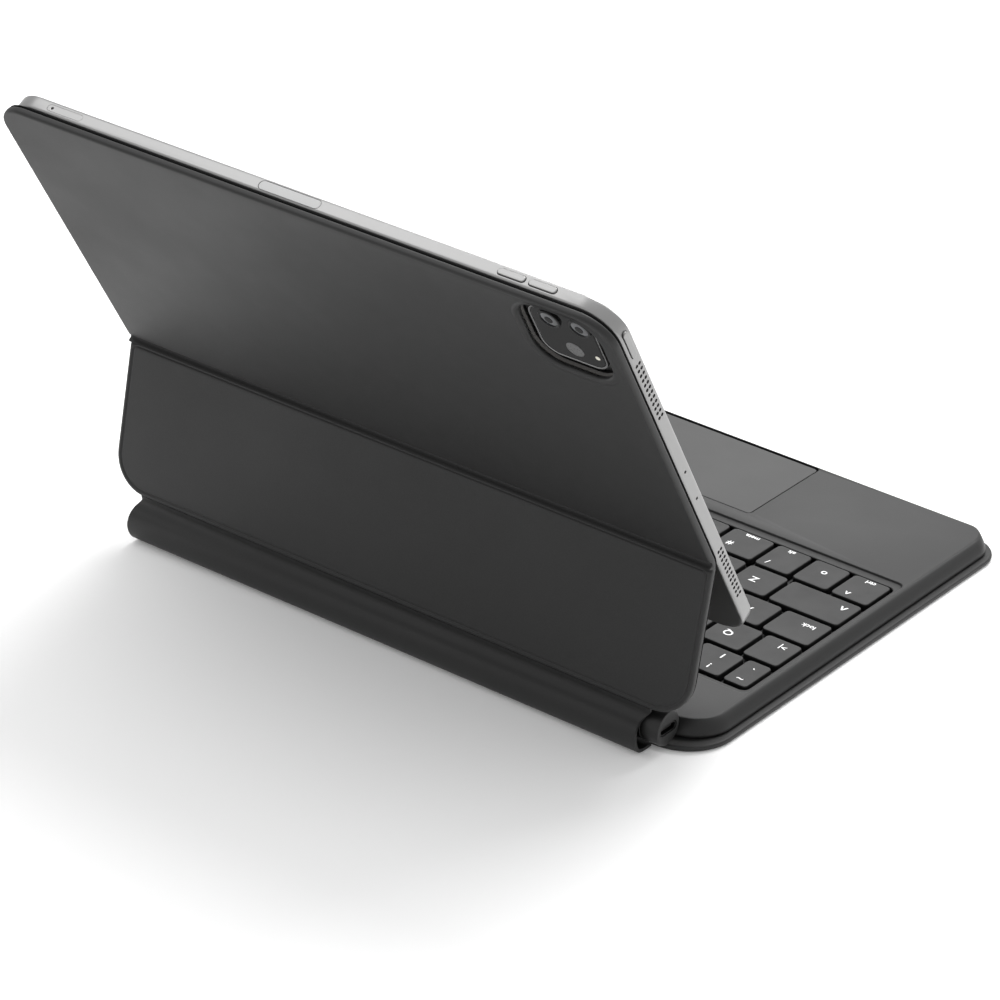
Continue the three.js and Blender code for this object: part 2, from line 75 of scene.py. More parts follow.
def make_camera():
    data = bpy.data.cameras.new("camera")
    data.sensor_width = SENSOR_WIDTH
    data.lens = CAMERA["lens"]
    camera = bpy.data.objects.new("camera", data)
    bpy.context.collection.objects.link(camera)
    back = unit_from(CAMERA["bearing"], CAMERA["height"])
    across = Vector((0, 0, 1)).cross(back).normalized()
    upright = back.cross(across)
    roll = math.radians(CAMERA["roll"])
    turned_across = across * math.cos(roll) + upright * math.sin(roll)
    turned_up = upright * math.cos(roll) - across * math.sin(roll)
    axes = Matrix((turned_across, turned_up, back)).transposed().to_4x4()
    camera.matrix_world = Matrix.Translation(LOOKED_AT + back * CAMERA["distance"]) @ axes
    bpy.context.scene.camera = camera


def softbox(name, bearing, height, distance, size, watts):
    data = bpy.data.lights.new(name, "AREA")
    data.shape = "DISK"
    data.size = size
    data.energy = watts
    lamp = bpy.data.objects.new(name, data)
    bpy.context.collection.objects.link(lamp)
    out = unit_from(bearing, height)
    aim = (-out).to_track_quat("-Z", "Y").to_matrix().to_4x4()
    lamp.matrix_world = Matrix.Translation(out * distance) @ aim


make_camera()
for softbox_name, softbox_facts in SOFTBOXES.items():
    softbox(softbox_name, *softbox_facts)

room = bpy.data.worlds.new("white_room")
room.use_nodes = True
room_light = room.node_tree.nodes["Background"].inputs
room_light["Color"].default_value = (1, 1, 1, 1)
room_light["Strength"].default_value = ROOM_STRENGTH
bpy.context.scene.world = room
bpy.context.scene.view_settings.view_transform = "Standard"

# Where a Mix node keeps its colour sockets, among those of its other kinds.
MIX_FACTOR, MIX_FIRST, MIX_SECOND, MIX_RESULT = 0, 6, 7, 2


class Wire:
    """One output of a shader node, with the sums that masks and patterns need."""

    def __init__(self, finish, socket):
        self.finish = finish
        self.socket = socket

    def sum(self, operation, first, second):
        settings = {"operation": operation}
        return self.finish.node("ShaderNodeMath", settings, {0: first, 1: second})

    def __add__(self, other):
        return self.sum("ADD", self, other)

    def __radd__(self, other):
        return self.sum("ADD", other, self)

    def __mul__(self, other):
        return self.sum("MULTIPLY", self, other)

    def __rmul__(self, other):
        return self.sum("MULTIPLY", other, self)

    def __gt__(self, other):
        return self.sum("GREATER_THAN", self, other)

    def __lt__(self, other):
        return self.sum("LESS_THAN", self, other)


class Finish:
    """One material: its shader's fixed values, and the patterns that vary over the surface."""

    def __init__(self, name, **constants):
        self.material = bpy.data.materials.new(name)
        self.material.use_nodes = True
        self.tree = self.material.node_tree
        self.shader = self.tree.nodes["Principled BSDF"]
        for socket, value in constants.items():
            self.shader.inputs[socket.replace("_", " ")].default_value = value
        self.place = self.node("ShaderNodeTexCoord", {}, {}, "Object")

    def node(self, kind, settings, inputs, output=0):
        """A node of any type: its settings, then its sockets' values or links."""
        made = self.tree.nodes.new(kind)
        for setting, value in settings.items():
            setattr(made, setting, value)
        for socket, value in inputs.items():
            if isinstance(value, Wire):
                self.tree.links.new(value.socket, made.inputs[socket])
            else:
                made.inputs[socket].default_value = value
        return Wire(self, made.outputs[output])

    def noise(self, scale, detail=3, roughness=0.55, stretch=(1, 1, 1)):
        place = self.node("ShaderNodeMapping", {}, {"Vector": self.place, "Scale": stretch})
        inputs = {"Vector": place, "Scale": scale, "Detail": detail, "Roughness": roughness}
        return self.node("ShaderNodeTexNoise", {}, inputs)

    def cells(self, scale, feature="F1"):
        inputs = {"Vector": self.place, "Scale": scale}
        return self.node("ShaderNodeTexVoronoi", {"feature": feature}, inputs)

    def spread(self, value, low, high, start=0.0, end=1.0):
        """Moves a value's range from start..end to low..high."""
        inputs = {0: value, 1: start, 2: end, 3: low, 4: high}
        return self.node("ShaderNodeMapRange", {}, inputs)

    def mix(self, factor, first, second):
        inputs = {MIX_FACTOR: factor, MIX_FIRST: first, MIX_SECOND: second}
        return self.node("ShaderNodeMix", {"data_type": "RGBA"}, inputs, MIX_RESULT)

    def bump(self, height, distance, strength=1.0):
        inputs = {"Height": height, "Distance": distance, "Strength": strength}
        self.feed("Normal", self.node("ShaderNodeBump", {}, inputs))

    def feed(self, socket, wire):
        self.tree.links.new(wire.socket, self.shader.inputs[socket])


def grey(level, warmth=0.0):
    return (level * (1 + warmth), level, level * (1 - warmth), 1)


def table_top_finish():
    finish = Finish("table_top", Roughness=0.7, Emission_Strength=1.0)
    patches = finish.noise(3)
    finish.feed("Base Color", finish.mix(patches, grey(0.92), grey(0.95)))
    finish.feed("Emission Color", finish.mix(patches, grey(0.08), grey(0.1)))
    return finish.material


TABLE_HALF = 3.0
TABLE_DROP = 0.0003


def make_table_top():
    mesh = bpy.data.meshes.new("table_top")
    corners = [(-TABLE_HALF, -TABLE_HALF), (TABLE_HALF, -TABLE_HALF),
               (TABLE_HALF, TABLE_HALF), (-TABLE_HALF, TABLE_HALF)]
    mesh.from_pydata([(x, y, -TABLE_DROP) for x, y in corners], [], [(0, 1, 2, 3)])
    table = bpy.data.objects.new("table_top", mesh)
    bpy.context.collection.objects.link(table)
    mesh.materials.append(table_top_finish())


make_table_top()

# ---- Base skin ---------------------------------------------------------------------------
# The underside of the keyboard is a sheet of the cover's polyurethane skin on a stiff core.
# Its rolled lip stands a little outside the deck all round.

MM = 0.001
BASE = {
    "half": 125.4, "front": -101.5, "rear": 94.6, "front_corner": 13, "rear_corner": 19,
    "top": 2.0, "under_round": 0.8, "lip_round": 0.7,
}
SHELF = 0.3
WELD_DISTANCE = 0.0005
CORNER_STEPS = 12
# Kept where a radius, or the flat between two rounds, would otherwise come to nothing.
HAIR = 0.02


def rounded(x0, y0, x1, y1, low, high, steps):
    """Points round a rectangle, anticlockwise, with one radius for each pair of corners."""
    corners = [
        (x1 - low, y0 + low, low, -90), (x1 - high, y1 - high, high, 0),
        (x0 + high, y1 - high, high, 90), (x0 + low, y0 + low, low, 180),
    ]
    points = []
    for centre_x, centre_y, radius, start in corners:
        for step in range(steps + 1):
            angle = math.radians(start + 90 * step / steps)
            across, along = radius * math.cos(angle), radius * math.sin(angle)
            points.append((centre_x + across, centre_y + along))
    return points


def outline(x0, y0, x1, y1, low, high=None, steps=8):
    """A function of inset that gives a rounded rectangle drawn that far inside its edge."""
    upper = low if high is None else high

    def at(inset):
        return rounded(
            x0 + inset, y0 + inset, x1 - inset, y1 - inset,
            max(low - inset, HAIR), max(upper - inset, HAIR), steps)

    return at


def rolled(low, high, low_round, high_round, steps=4):
    """(inset, height) points up the side of a plate with rounded edges."""
    quarter = [math.pi / 2 * step / steps for step in range(steps + 1)]
    points = [(low_round + SHELF, low)]
    for angle in quarter:
        inset, rise = low_round * (1 - math.sin(angle)), low_round * (1 - math.cos(angle))
        points.append((inset, low + rise))
    for angle in quarter:
        inset, drop = high_round * (1 - math.cos(angle)), high_round * (1 - math.sin(angle))
        points.append((inset, high - drop))
    points.append((high_round + SHELF, high))
    return points


def ring(bm, points, height):
    return [bm.verts.new((x, y, height)) for x, y in points]


def wall(bm, lower, upper):
    count = len(lower)
    for index in range(count):
        after = (index + 1) % count
        bm.faces.new((lower[index], lower[after], upper[after], upper[index]))


def lid(bm, *rings):
    """Closes one ring, or the flat ground between an outer ring and the holes in it."""
    if len(rings) == 1:
        bm.faces.new(rings[0])
        return
    edges = []
    for verts in rings:
        for first, second in zip(verts, verts[1:] + verts[:1]):
            edges.append(bm.edges.get((first, second)) or bm.edges.new((first, second)))
    bmesh.ops.triangle_fill(bm, use_beauty=True, use_dissolve=False, edges=edges)


def stacked(bm, shape, profile, closed=False):
    """Rings of a shape up a profile of (inset, height), with walls between them."""
    rings = [ring(bm, shape(inset), height) for inset, height in profile]
    above = rings[1:] + rings[:1] if closed else rings[1:]
    for lower, upper in zip(rings, above):
        wall(bm, lower, upper)
    return rings[0], rings[-1]


def add_block(bm, shape, profile):
    first, last = stacked(bm, shape, profile)
    lid(bm, first)
    lid(bm, last)


def block(shape, profile):
    bm = bmesh.new()
    add_block(bm, shape, profile)
    return bm


def flat(point):
    return Vector(point)


SHARP_FROM = 35


def piece(name, bm, place, material, body, smooth=SHARP_FROM):
    """Puts a mesh drawn in millimetres in its place, smooths it and lets it ride a body."""
    bmesh.ops.remove_doubles(bm, verts=bm.verts, dist=WELD_DISTANCE)
    for vert in bm.verts:
        vert.co = place(vert.co) * MM
    bmesh.ops.recalc_face_normals(bm, faces=bm.faces)
    if bm.calc_volume(signed=True) < 0:
        bmesh.ops.reverse_faces(bm, faces=bm.faces)
    mesh = bpy.data.meshes.new(name)
    bm.to_mesh(mesh)
    bm.free()
    mesh.shade_smooth()
    mesh.set_sharp_from_angle(angle=math.radians(smooth))
    mesh.materials.append(material)
    made = bpy.data.objects.new(name, mesh)
    bpy.context.collection.objects.link(made)
    if body:
        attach(made, body)
    return made


def cover_skin_finish():
    finish = Finish("charcoal_polyurethane", Specular_IOR_Level=0.44)
    pebbles = finish.cells(2100, "SMOOTH_F1")
    pores = finish.noise(5200, 2)
    cloudy = finish.noise(22, 4)
    tone = finish.spread(pebbles * 0.5 + cloudy * 0.5, 0.0, 1.0, 0.2, 0.7)
    finish.feed("Base Color", finish.mix(tone, grey(0.005), grey(0.009)))
    finish.feed("Roughness", finish.spread(cloudy + pores * 0.3, 0.46, 0.58, 0.3, 0.9))
    finish.bump(pebbles + pores * 0.5, 0.00003, 0.5)
    return finish.material


COVER_SKIN = cover_skin_finish()


def make_base_skin():
    shape = outline(
        -BASE["half"], BASE["front"], BASE["half"], BASE["rear"],
        BASE["front_corner"], BASE["rear_corner"], CORNER_STEPS)
    sheet = block(shape, rolled(0.0, BASE["top"], BASE["under_round"], BASE["lip_round"]))
    base = piece("base_underside", sheet, flat, COVER_SKIN, "base")
    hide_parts("base_skin")


make_base_skin()

# ---- Deck --------------------------------------------------------------------------------
# One moulded frame makes the palm rest and the surround of the keys. It is coated soft to
# the touch, its sides slope out to the lip, and the keys stand in a shallow step.

DECK = {
    "half": 122.8, "front": -99.6, "rear": 88.2, "front_corner": 11, "rear_corner": 16,
    "bottom": 2.3, "top": 7.8, "under": 6.2,
}
DECK_WALL = 1.6
FRONT_STEEPNESS = 0.78
# Up the sloped side, and down the step round the keys, as (inset, height).
DECK_SLOPE = [
    (0.5, DECK["bottom"]), (0.1, DECK["bottom"] + 0.15), (0, DECK["bottom"] + 0.5), (0.2, 3.6),
    (0.9, 5.0), (1.9, 6.3), (2.7, 7.1), (3.2, 7.5), (3.55, 7.7), (3.85, 7.78), (4.1, DECK["top"]),
    (4.1 + SHELF, DECK["top"]),
]
WELL = {"half": 118, "front": -44.3, "rear": 57.4, "floor": 7.0, "corner": 3}
WELL_STEP = [
    (-0.3, DECK["top"]), (-0.1, 7.76), (0.1, 7.6), (0.2, 7.3), (0.4, 7.04), (0.7, WELL["floor"])]
KEYBED = {"half": 116.4, "front": -40.4, "rear": 54.7, "corner": 2.7}
PAD = {
    "half": 46, "front": -97.2, "rear": -51.4, "top": 7.7, "corner": 1.6, "gap": 0.4,
    "notch": -98.4, "notch_corner": 2, "thick": 1.3,
}


def deck_finish():
    finish = Finish("soft_touch_coat", Specular_IOR_Level=0.33)
    speckle = finish.noise(3800, 2)
    cloudy = finish.noise(16, 3)
    finish.feed("Base Color", finish.mix(cloudy, grey(0.008), grey(0.012)))
    finish.feed("Roughness", finish.spread(cloudy + speckle * 0.4, 0.38, 0.5, 0.4, 1.0))
    finish.bump(speckle, 0.00002, 0.5)
    return finish.material


DECK_COAT = deck_finish()


def steeper(y, inset):
    """Nought beside and behind the front corners, rising to one along the front edge."""
    radius = DECK["front_corner"]
    return min(max((DECK["front"] + radius - y) / (radius - inset), 0), 1)


def make_deck():
    bm = bmesh.new()
    whole = outline(
        -DECK["half"], DECK["front"], DECK["half"], DECK["rear"],
        DECK["front_corner"], DECK["rear_corner"], CORNER_STEPS)

    def shape(inset):
        """The slope is steeper along the front, where the trackpad reaches the edge."""
        return [(x, y - inset * FRONT_STEEPNESS * steeper(y, inset)) for x, y in whole(inset)]

    bottom, top = stacked(bm, shape, DECK_SLOPE)
    well = outline(-WELL["half"], WELL["front"], WELL["half"], WELL["rear"], WELL["corner"])
    well_top, well_floor = stacked(bm, well, WELL_STEP)
    bed = outline(
        -KEYBED["half"], KEYBED["front"], KEYBED["half"], KEYBED["rear"], KEYBED["corner"])
    bed_top, bed_under = stacked(
        bm, bed, [(-0.2, WELL["floor"]), (0, 6.8), (0, DECK["under"])])
    grow = PAD["gap"]
    pad = outline(
        -PAD["half"] - grow, PAD["notch"], PAD["half"] + grow, PAD["rear"] + grow,
        PAD["notch_corner"])
    pad_top, pad_under = stacked(
        bm, pad, [(-0.12, DECK["top"]), (-0.03, 7.75), (0, 7.6), (0, DECK["under"])])
    inner_top, inner_bottom = stacked(
        bm, shape, [(DECK_WALL + 2, DECK["under"]), (DECK_WALL, 5.2), (DECK_WALL, DECK["bottom"])])
    lid(bm, top, well_top, pad_top)
    lid(bm, well_floor, bed_top)
    lid(bm, inner_top, bed_under, pad_under)
    wall(bm, inner_bottom, bottom)
    deck = piece("deck_surround", bm, flat, DECK_COAT, "base")
    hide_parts("deck_top")


make_deck()

# ---- Trackpad ----------------------------------------------------------------------------
# A plate of frosted glass lies level with the deck and clicks down on the switch below it.


def trackpad_finish():
    finish = Finish("frosted_glass", Specular_IOR_Level=0.42)
    frost = finish.noise(6000, 2)
    smears = finish.noise(30, 4)
    finish.feed("Base Color", finish.mix(smears, grey(0.014), grey(0.019)))
    finish.feed("Roughness", finish.spread(smears, 0.33, 0.42, 0.3, 0.7))
    finish.bump(frost, 0.000008, 0.4)
    return finish.material


def make_trackpad():
    shape = outline(-PAD["half"], PAD["front"], PAD["half"], PAD["rear"], PAD["corner"])
    bm = block(shape, rolled(PAD["top"] - PAD["thick"], PAD["top"], 0.1, 0.25))
    pad = piece("trackpad_glass_plate", bm, flat, trackpad_finish(), "trackpad")
    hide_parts("trackpad_plate")


make_trackpad()

# ---- Keys --------------------------------------------------------------------------------
# Each keycap is a thin moulded tile with softly rounded edges and a face dished by a hair.
# Its mark is printed in white, with a faint painted glow. The letter keys of a row are alike
# and evenly spaced.

KEY = {"left": -115.5, "top": 7.5, "bottom": 5.0, "gap_x": 1.5, "gap_y": 1.8, "corner": 1.8}
ROW_PITCH = 18.9
FIRST_ROW = -39.5
LETTER_PITCH = 18
MARK_THICKNESS = 0.02
MARK_WEIGHT = 0.06

# A row is its short name, its keys before the letters, its ten letters and the keys after.
# A key is its name, its width and its marks, each (text, size, across, along) as shares.
ROWS = [
    ("space_row", [
        ("control", 17, [("ctrl", 2.9, 0.5, 0.12), ("^", 5, 0.66, 0.74)]),
        ("globe", 16.4, [("o", 4.6, 0.5, 0.42)]),
        ("option", 16.2, [("alt", 2.9, 0.55, 0.12), ("/", 3.6, 0.74, 0.78)]),
        ("command", 19.3, [("meta", 2.9, 0.5, 0.12), ("#", 4, 0.72, 0.65)]),
        ("space", 81.5, [])], "", [
        ("right_command", 17, [("meta", 2.9, 0.5, 0.12), ("#", 4, 0.28, 0.65)]),
        ("right_option", 14.9, [("alt", 2.9, 0.5, 0.12), ("/", 3.6, 0.26, 0.78)]),
        ("arrow_left", 16.2, [("<", 4, 0.5, 0.5)]),
        ("arrow_up_down", 16.2, [("^", 5, 0.5, 0.7), ("v", 3.4, 0.5, 0.28)]),
        ("arrow_right", 17.8, [(">", 4, 0.5, 0.5)])]),
    ("bottom_row", [("left_shift", 31, [("^", 6.5, 0.17, 0.24)])], "ZXCVBNM,./", [
        ("right_shift", 21.5, [("^", 6.5, 0.78, 0.24)])]),
    ("home_row", [("caps_lock", 20.9, [("lock", 3.2, 0.37, 0.3)])], "ASDFGHJKL;", [
        ("quote", 11.4, [("\"", 3.4, 0.5, 0.55)]),
        ("return", 20.2, [("enter", 2.6, 0.7, 0.25)])]),
    ("upper_row", [("tab", 16.2, [(">|", 3.8, 0.39, 0.27)])], "QWERTYUIOP", [
        ("bracket_left", 11.6, [("[", 3.4, 0.5, 0.5)]),
        ("bracket_right", 11.6, [("]", 3.4, 0.5, 0.5)]),
        ("backslash", 13.1, [("\\", 3.4, 0.5, 0.5)])]),
    ("number_row", [("backtick", 11.4, [("`", 4.6, 0.5, 0.2), ("~", 4.6, 0.5, 0.78)])],
     "1234567890", [
        ("minus", 12.2, [("-", 3.6, 0.5, 0.3), ("_", 3.6, 0.5, 0.7)]),
        ("equals", 12.2, [("=", 3.4, 0.5, 0.3), ("+", 3.4, 0.5, 0.7)]),
        ("delete", 16.7, [("erase", 2.4, 0.6, 0.25)])]),
]
SHIFTED_DIGITS = dict(zip("1234567890", "!@#$%^&*()"))
LONE_KEYS = {"control", "globe", "option", "command", "space", "left_shift", "Z", "caps_lock",
             "tab", "backtick", "1", "return"}


def key_plastic_finish():
    finish = Finish("keycap_plastic_and_painted_shade", Specular_IOR_Level=0.28)
    texture = finish.noise(4200, 2)
    polish = finish.noise(90, 3)
    height = finish.node("ShaderNodeSeparateXYZ", {}, {"Vector": finish.place}, "Z")
    # Below the key tops the colour fades to near black: painted shade for the shadow down the keys' sides and in
    # the gaps between them.
    side = finish.spread(height, 1.0, 0.0, 0.0068, 0.00725)
    top = finish.mix(texture, grey(0.013), grey(0.019))
    finish.feed("Base Color", finish.mix(side, top, grey(0.004)))
    finish.feed("Roughness", finish.spread(polish, 0.38, 0.5, 0.3, 0.7))
    finish.bump(texture, 0.000015, 0.5)
    return finish.material


def mark_finish():
    finish = Finish("white_print_and_painted_glow", Roughness=0.5, Emission_Strength=1.0)
    ink = finish.noise(2500, 2)
    finish.feed("Base Color", finish.mix(ink, grey(0.8), grey(0.88)))
    # The print also glows faintly: a painted glow, since no lamp lights the marks from inside.
    finish.feed("Emission Color", finish.mix(ink, grey(0.12), grey(0.16)))
    return finish.material


KEY_PLASTIC = key_plastic_finish()
WHITE_PRINT_AND_PAINTED_GLOW = mark_finish()


def keycap_profile():
    top = KEY["top"]
    return [
        (0.5, KEY["bottom"]), (0.1, KEY["bottom"] + 0.1), (0, KEY["bottom"] + 0.4),
        (0.12, top - 0.6), (0.2, top - 0.22), (0.34, top - 0.06), (0.6, top - 0.01),
        (1.0, top - 0.01), (2.5, top - 0.05), (4.2, top - 0.07),
    ]


def add_keycap(bm, x0, x1, y0, y1):
    shape = outline(x0, y0, x1, y1, KEY["corner"], steps=4)
    add_block(bm, shape, keycap_profile())


def copies_tree(name, inputs, parts, links, fixed):
    """Geometry Nodes: copies of a shape on points, made real and painted at the end."""
    tree = bpy.data.node_groups.new(name, "GeometryNodeTree")
    for socket, kind in {**inputs, "Material": "Material"}.items():
        tree.interface.new_socket(socket, in_out="INPUT", socket_type="NodeSocket" + kind)
    tree.interface.new_socket("Geometry", in_out="OUTPUT", socket_type="NodeSocketGeometry")
    parts = {
        **parts, "given": "NodeGroupInput", "copies": "GeometryNodeInstanceOnPoints",
        "real": "GeometryNodeRealizeInstances", "paint": "GeometryNodeSetMaterial",
        "result": "NodeGroupOutput",
    }
    nodes = {label: tree.nodes.new(kind) for label, kind in parts.items()}
    ending = {
        "copies.Instances": "real.Geometry", "real.Geometry": "paint.Geometry",
        "given.Material": "paint.Material", "paint.Geometry": "result.Geometry",
    }
    for socket, value in fixed.items():
        label, into = socket.split(".")
        nodes[label].inputs[into].default_value = value
    for source, target in {**links, **ending}.items():
        giver, output = source.split(".")
        taker, into = target.split(".")
        tree.links.new(nodes[giver].outputs[output], nodes[taker].inputs[into])
    return tree


def set_input(modifier, name, value):
    """Sets a Geometry Nodes input by its socket's identifier."""
    for item in modifier.node_group.interface.items_tree:
        if item.item_type == "SOCKET" and item.in_out == "INPUT" and item.name == name:
            modifier[item.identifier] = value


def settle(made):
    """Turns an object's modifiers into its plain mesh."""
    bpy.context.view_layer.update()
    graph = bpy.context.evaluated_depsgraph_get()
    mesh = bpy.data.meshes.new_from_object(made.evaluated_get(graph))
    made.modifiers.clear()
    made.data = mesh


def grown(name, tree, **inputs):
    """The plain mesh that a tree makes, as an object with no modifier left on it."""
    seed = bpy.data.objects.new(name, bpy.data.meshes.new(name + "_seed"))
    bpy.context.collection.objects.link(seed)
    modifier = seed.modifiers.new("nodes", "NODES")
    modifier.node_group = tree
    for socket, value in inputs.items():
        set_input(modifier, socket, value)
    settle(seed)
    return seed


LETTER_ROW = copies_tree(
    "letter_row", {"Keycap": "Object", "Count": "Int", "Pitch": "Float"},
    {"step": "ShaderNodeCombineXYZ", "line": "GeometryNodeMeshLine",
     "cap": "GeometryNodeObjectInfo"},
    {"given.Pitch": "step.X", "given.Count": "line.Count", "step.Vector": "line.Offset",
     "given.Keycap": "cap.Object", "line.Mesh": "copies.Points",
     "cap.Geometry": "copies.Instance"}, {})


def make_letter_keys(name, row, body, left, count):
    front = FIRST_ROW + row * ROW_PITCH
    bm = bmesh.new()
    right, back = left + LETTER_PITCH - KEY["gap_x"], front + ROW_PITCH - KEY["gap_y"]
    add_keycap(bm, left, right, front, back)
    cap = piece(name + "_first", bm, flat, KEY_PLASTIC, None)
    keys = grown(
        name, LETTER_ROW, Keycap=cap, Count=count, Pitch=LETTER_PITCH * MM, Material=KEY_PLASTIC)
    bpy.data.objects.remove(cap)
    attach(keys, body)
    return keys


def text_mesh(words, size):
    curve = bpy.data.curves.new("mark", "FONT")
    curve.body = words
    curve.size = size
    curve.align_x = "CENTER"
    curve.align_y = "CENTER"
    curve.extrude = MARK_THICKNESS
    curve.offset = MARK_WEIGHT
    curve.resolution_u = 3
    holder = bpy.data.objects.new("mark", curve)
    bpy.context.collection.objects.link(holder)
    graph = bpy.context.evaluated_depsgraph_get()
    mesh = bpy.data.meshes.new_from_object(holder.evaluated_get(graph))
    bpy.data.objects.remove(holder)
    return mesh


def add_marks(bm, marks, x0, x1, y0, y1):
    for words, size, across, along in marks:
        mesh = text_mesh(words, size)
        centre = Vector((x0 + (x1 - x0) * across, y0 + (y1 - y0) * along, KEY["top"]))
        mesh.transform(Matrix.Translation(centre))
        bm.from_mesh(mesh)
        bpy.data.meshes.remove(mesh)


def letter_marks(letter):
    if letter in SHIFTED_DIGITS:
        return [(letter, 4.4, 0.4, 0.25), (SHIFTED_DIGITS[letter], 4.4, 0.4, 0.74)]
    return [(letter, 4.8, 0.58, 0.5)]


def make_row(row, short, before, letters, after):
    front = FIRST_ROW + row * ROW_PITCH
    back = front + ROW_PITCH - KEY["gap_y"]
    left = KEY["left"] - KEY["gap_x"] / 2
    shared_body = f"keys_{short}_body"
    middle = [(letter, LETTER_PITCH, letter_marks(letter)) for letter in letters]
    caps, prints = bmesh.new(), bmesh.new()
    first_letter, count = None, 0
    for name, width, marks in before + middle + after:
        x0, x1 = left + KEY["gap_x"] / 2, left + width - KEY["gap_x"] / 2
        left += width
        if name in LONE_KEYS:
            node = "key_" + name.lower()
            lone = bmesh.new()
            add_keycap(lone, x0, x1, front, back)
            cap = piece(node + "_cap", lone, flat, KEY_PLASTIC, node + "_body")
            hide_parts(node)
            if marks:
                ink = bmesh.new()
                add_marks(ink, marks, x0, x1, front, back)
                mark = piece(node + "_mark", ink, flat, WHITE_PRINT_AND_PAINTED_GLOW, node + "_body")
            continue
        add_marks(prints, marks, x0, x1, front, back)
        if width == LETTER_PITCH and name in letters:
            first_letter = x0 if first_letter is None else first_letter
            count += 1
        else:
            add_keycap(caps, x0, x1, front, back)
    ends = piece(f"{short}_end_keys", caps, flat, KEY_PLASTIC, shared_body)
    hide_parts("keys_" + short)
    if count:
        letter_keys = make_letter_keys(
            f"{short}_letter_keys", row, shared_body, first_letter, count)
    row_marks = piece(f"{short}_marks", prints, flat, WHITE_PRINT_AND_PAINTED_GLOW, shared_body)


for row_number, row_facts in enumerate(ROWS):
    make_row(row_number, *row_facts)

# ---- Cover -------------------------------------------------------------------------------
# The back cover is one skin over two stiff boards. It rolls round the boards' edges to meet
# the lining, and bends at the crease, where a ridge is pressed up between two grooves.

HINGE = Vector(frame["joints"][0]["pos_m"]) / MM
CREASE = Vector(frame["joints"][1]["pos_m"]) / MM
FLAP_ANGLE = math.radians(99)
PANEL_ANGLE = math.radians(57.7)
COVER = {"half": 125, "flap": -56.6, "panel": 131.8, "flap_corner": 14, "panel_corner": 12}
PIVOT_DEPTH = 1.9
BEND = 3.0
BEND_CUTS = 14
CUTS_REACH = 1.7
WINDOW = {"x": -104.2, "up": 114.5, "half": 15.5, "corner": 10}
BORDER_GROWTH = {"side": 0.85, "above": 0.1, "corner": 0.6}
# Each fold line is its place up from the crease, its depth and its half width. A line of
# negative depth is a ridge. Only the outer face is pressed, from a little below the seam up.
FOLD_LINES = [(1.6, 0.9, 0.9), (-0.3, -1.3, 0.75), (-1.8, 0.5, 0.6)]
FOLDED_FACE = 0.6
FOLDS_REACH = 2
FLAP_SEAM = {"inset": 1.3, "top": -2.2, "corner": 12.7, "top_corner": 2.5}
SEAM_GROOVE = [(0, 0), (0.15, 0.08), (0.35, 0.26), (0.6, 0.32), (0.85, 0.22), (1.1, 0.05), (1.4, 0)]


def along_cover(angle):
    return Vector((0, math.cos(angle), math.sin(angle)))


def on_cover(point):
    """From across, up from the crease and depth below the outer face to a place in the room."""
    across, up, depth = point
    flap, panel = along_cover(FLAP_ANGLE), along_cover(PANEL_ANGLE)
    share = min(max((up + BEND) / (2 * BEND), 0), 1)
    way = (flap * (1 - share) + panel * share).normalized()
    spot = CREASE + BEND * (share * share * panel - (1 - share) ** 2 * flap)
    if up < -BEND:
        spot += flap * (up + BEND)
    if up > BEND:
        spot += panel * (up - BEND)
    inward = Vector((0, -way.z, way.y))
    return spot + Vector((across, 0, 0)) + inward * (depth - PIVOT_DEPTH)


def bend_cuts(bm):
    for step in range(-BEND_CUTS, BEND_CUTS + 1):
        everything = bm.verts[:] + bm.edges[:] + bm.faces[:]
        cut_at = (0, BEND * CUTS_REACH * step / BEND_CUTS, 0)
        bmesh.ops.bisect_plane(bm, geom=everything, plane_co=cut_at, plane_no=(0, 1, 0))


def window_rings(bm, profile):
    """Rings round the camera window; above it they crowd together under the panel's edge."""
    rings = []
    for grow, depth in profile:
        half = WINDOW["half"]
        points = rounded(
            WINDOW["x"] - half - grow * BORDER_GROWTH["side"], WINDOW["up"] - half - grow,
            WINDOW["x"] + half + grow, WINDOW["up"] + half + grow * BORDER_GROWTH["above"],
            WINDOW["corner"] + grow, WINDOW["corner"] + grow * BORDER_GROWTH["corner"], 10)
        rings.append(ring(bm, points, depth))
    for outer, inner in zip(rings, rings[1:]):
        wall(bm, outer, inner)
    return rings[0], rings[-1]


def cover_outline(inset_by=0.0):
    return outline(
        -COVER["half"] + inset_by, COVER["flap"] + inset_by,
        COVER["half"] - inset_by, COVER["panel"] - inset_by,
        COVER["flap_corner"] - inset_by, COVER["panel_corner"] - inset_by, CORNER_STEPS)


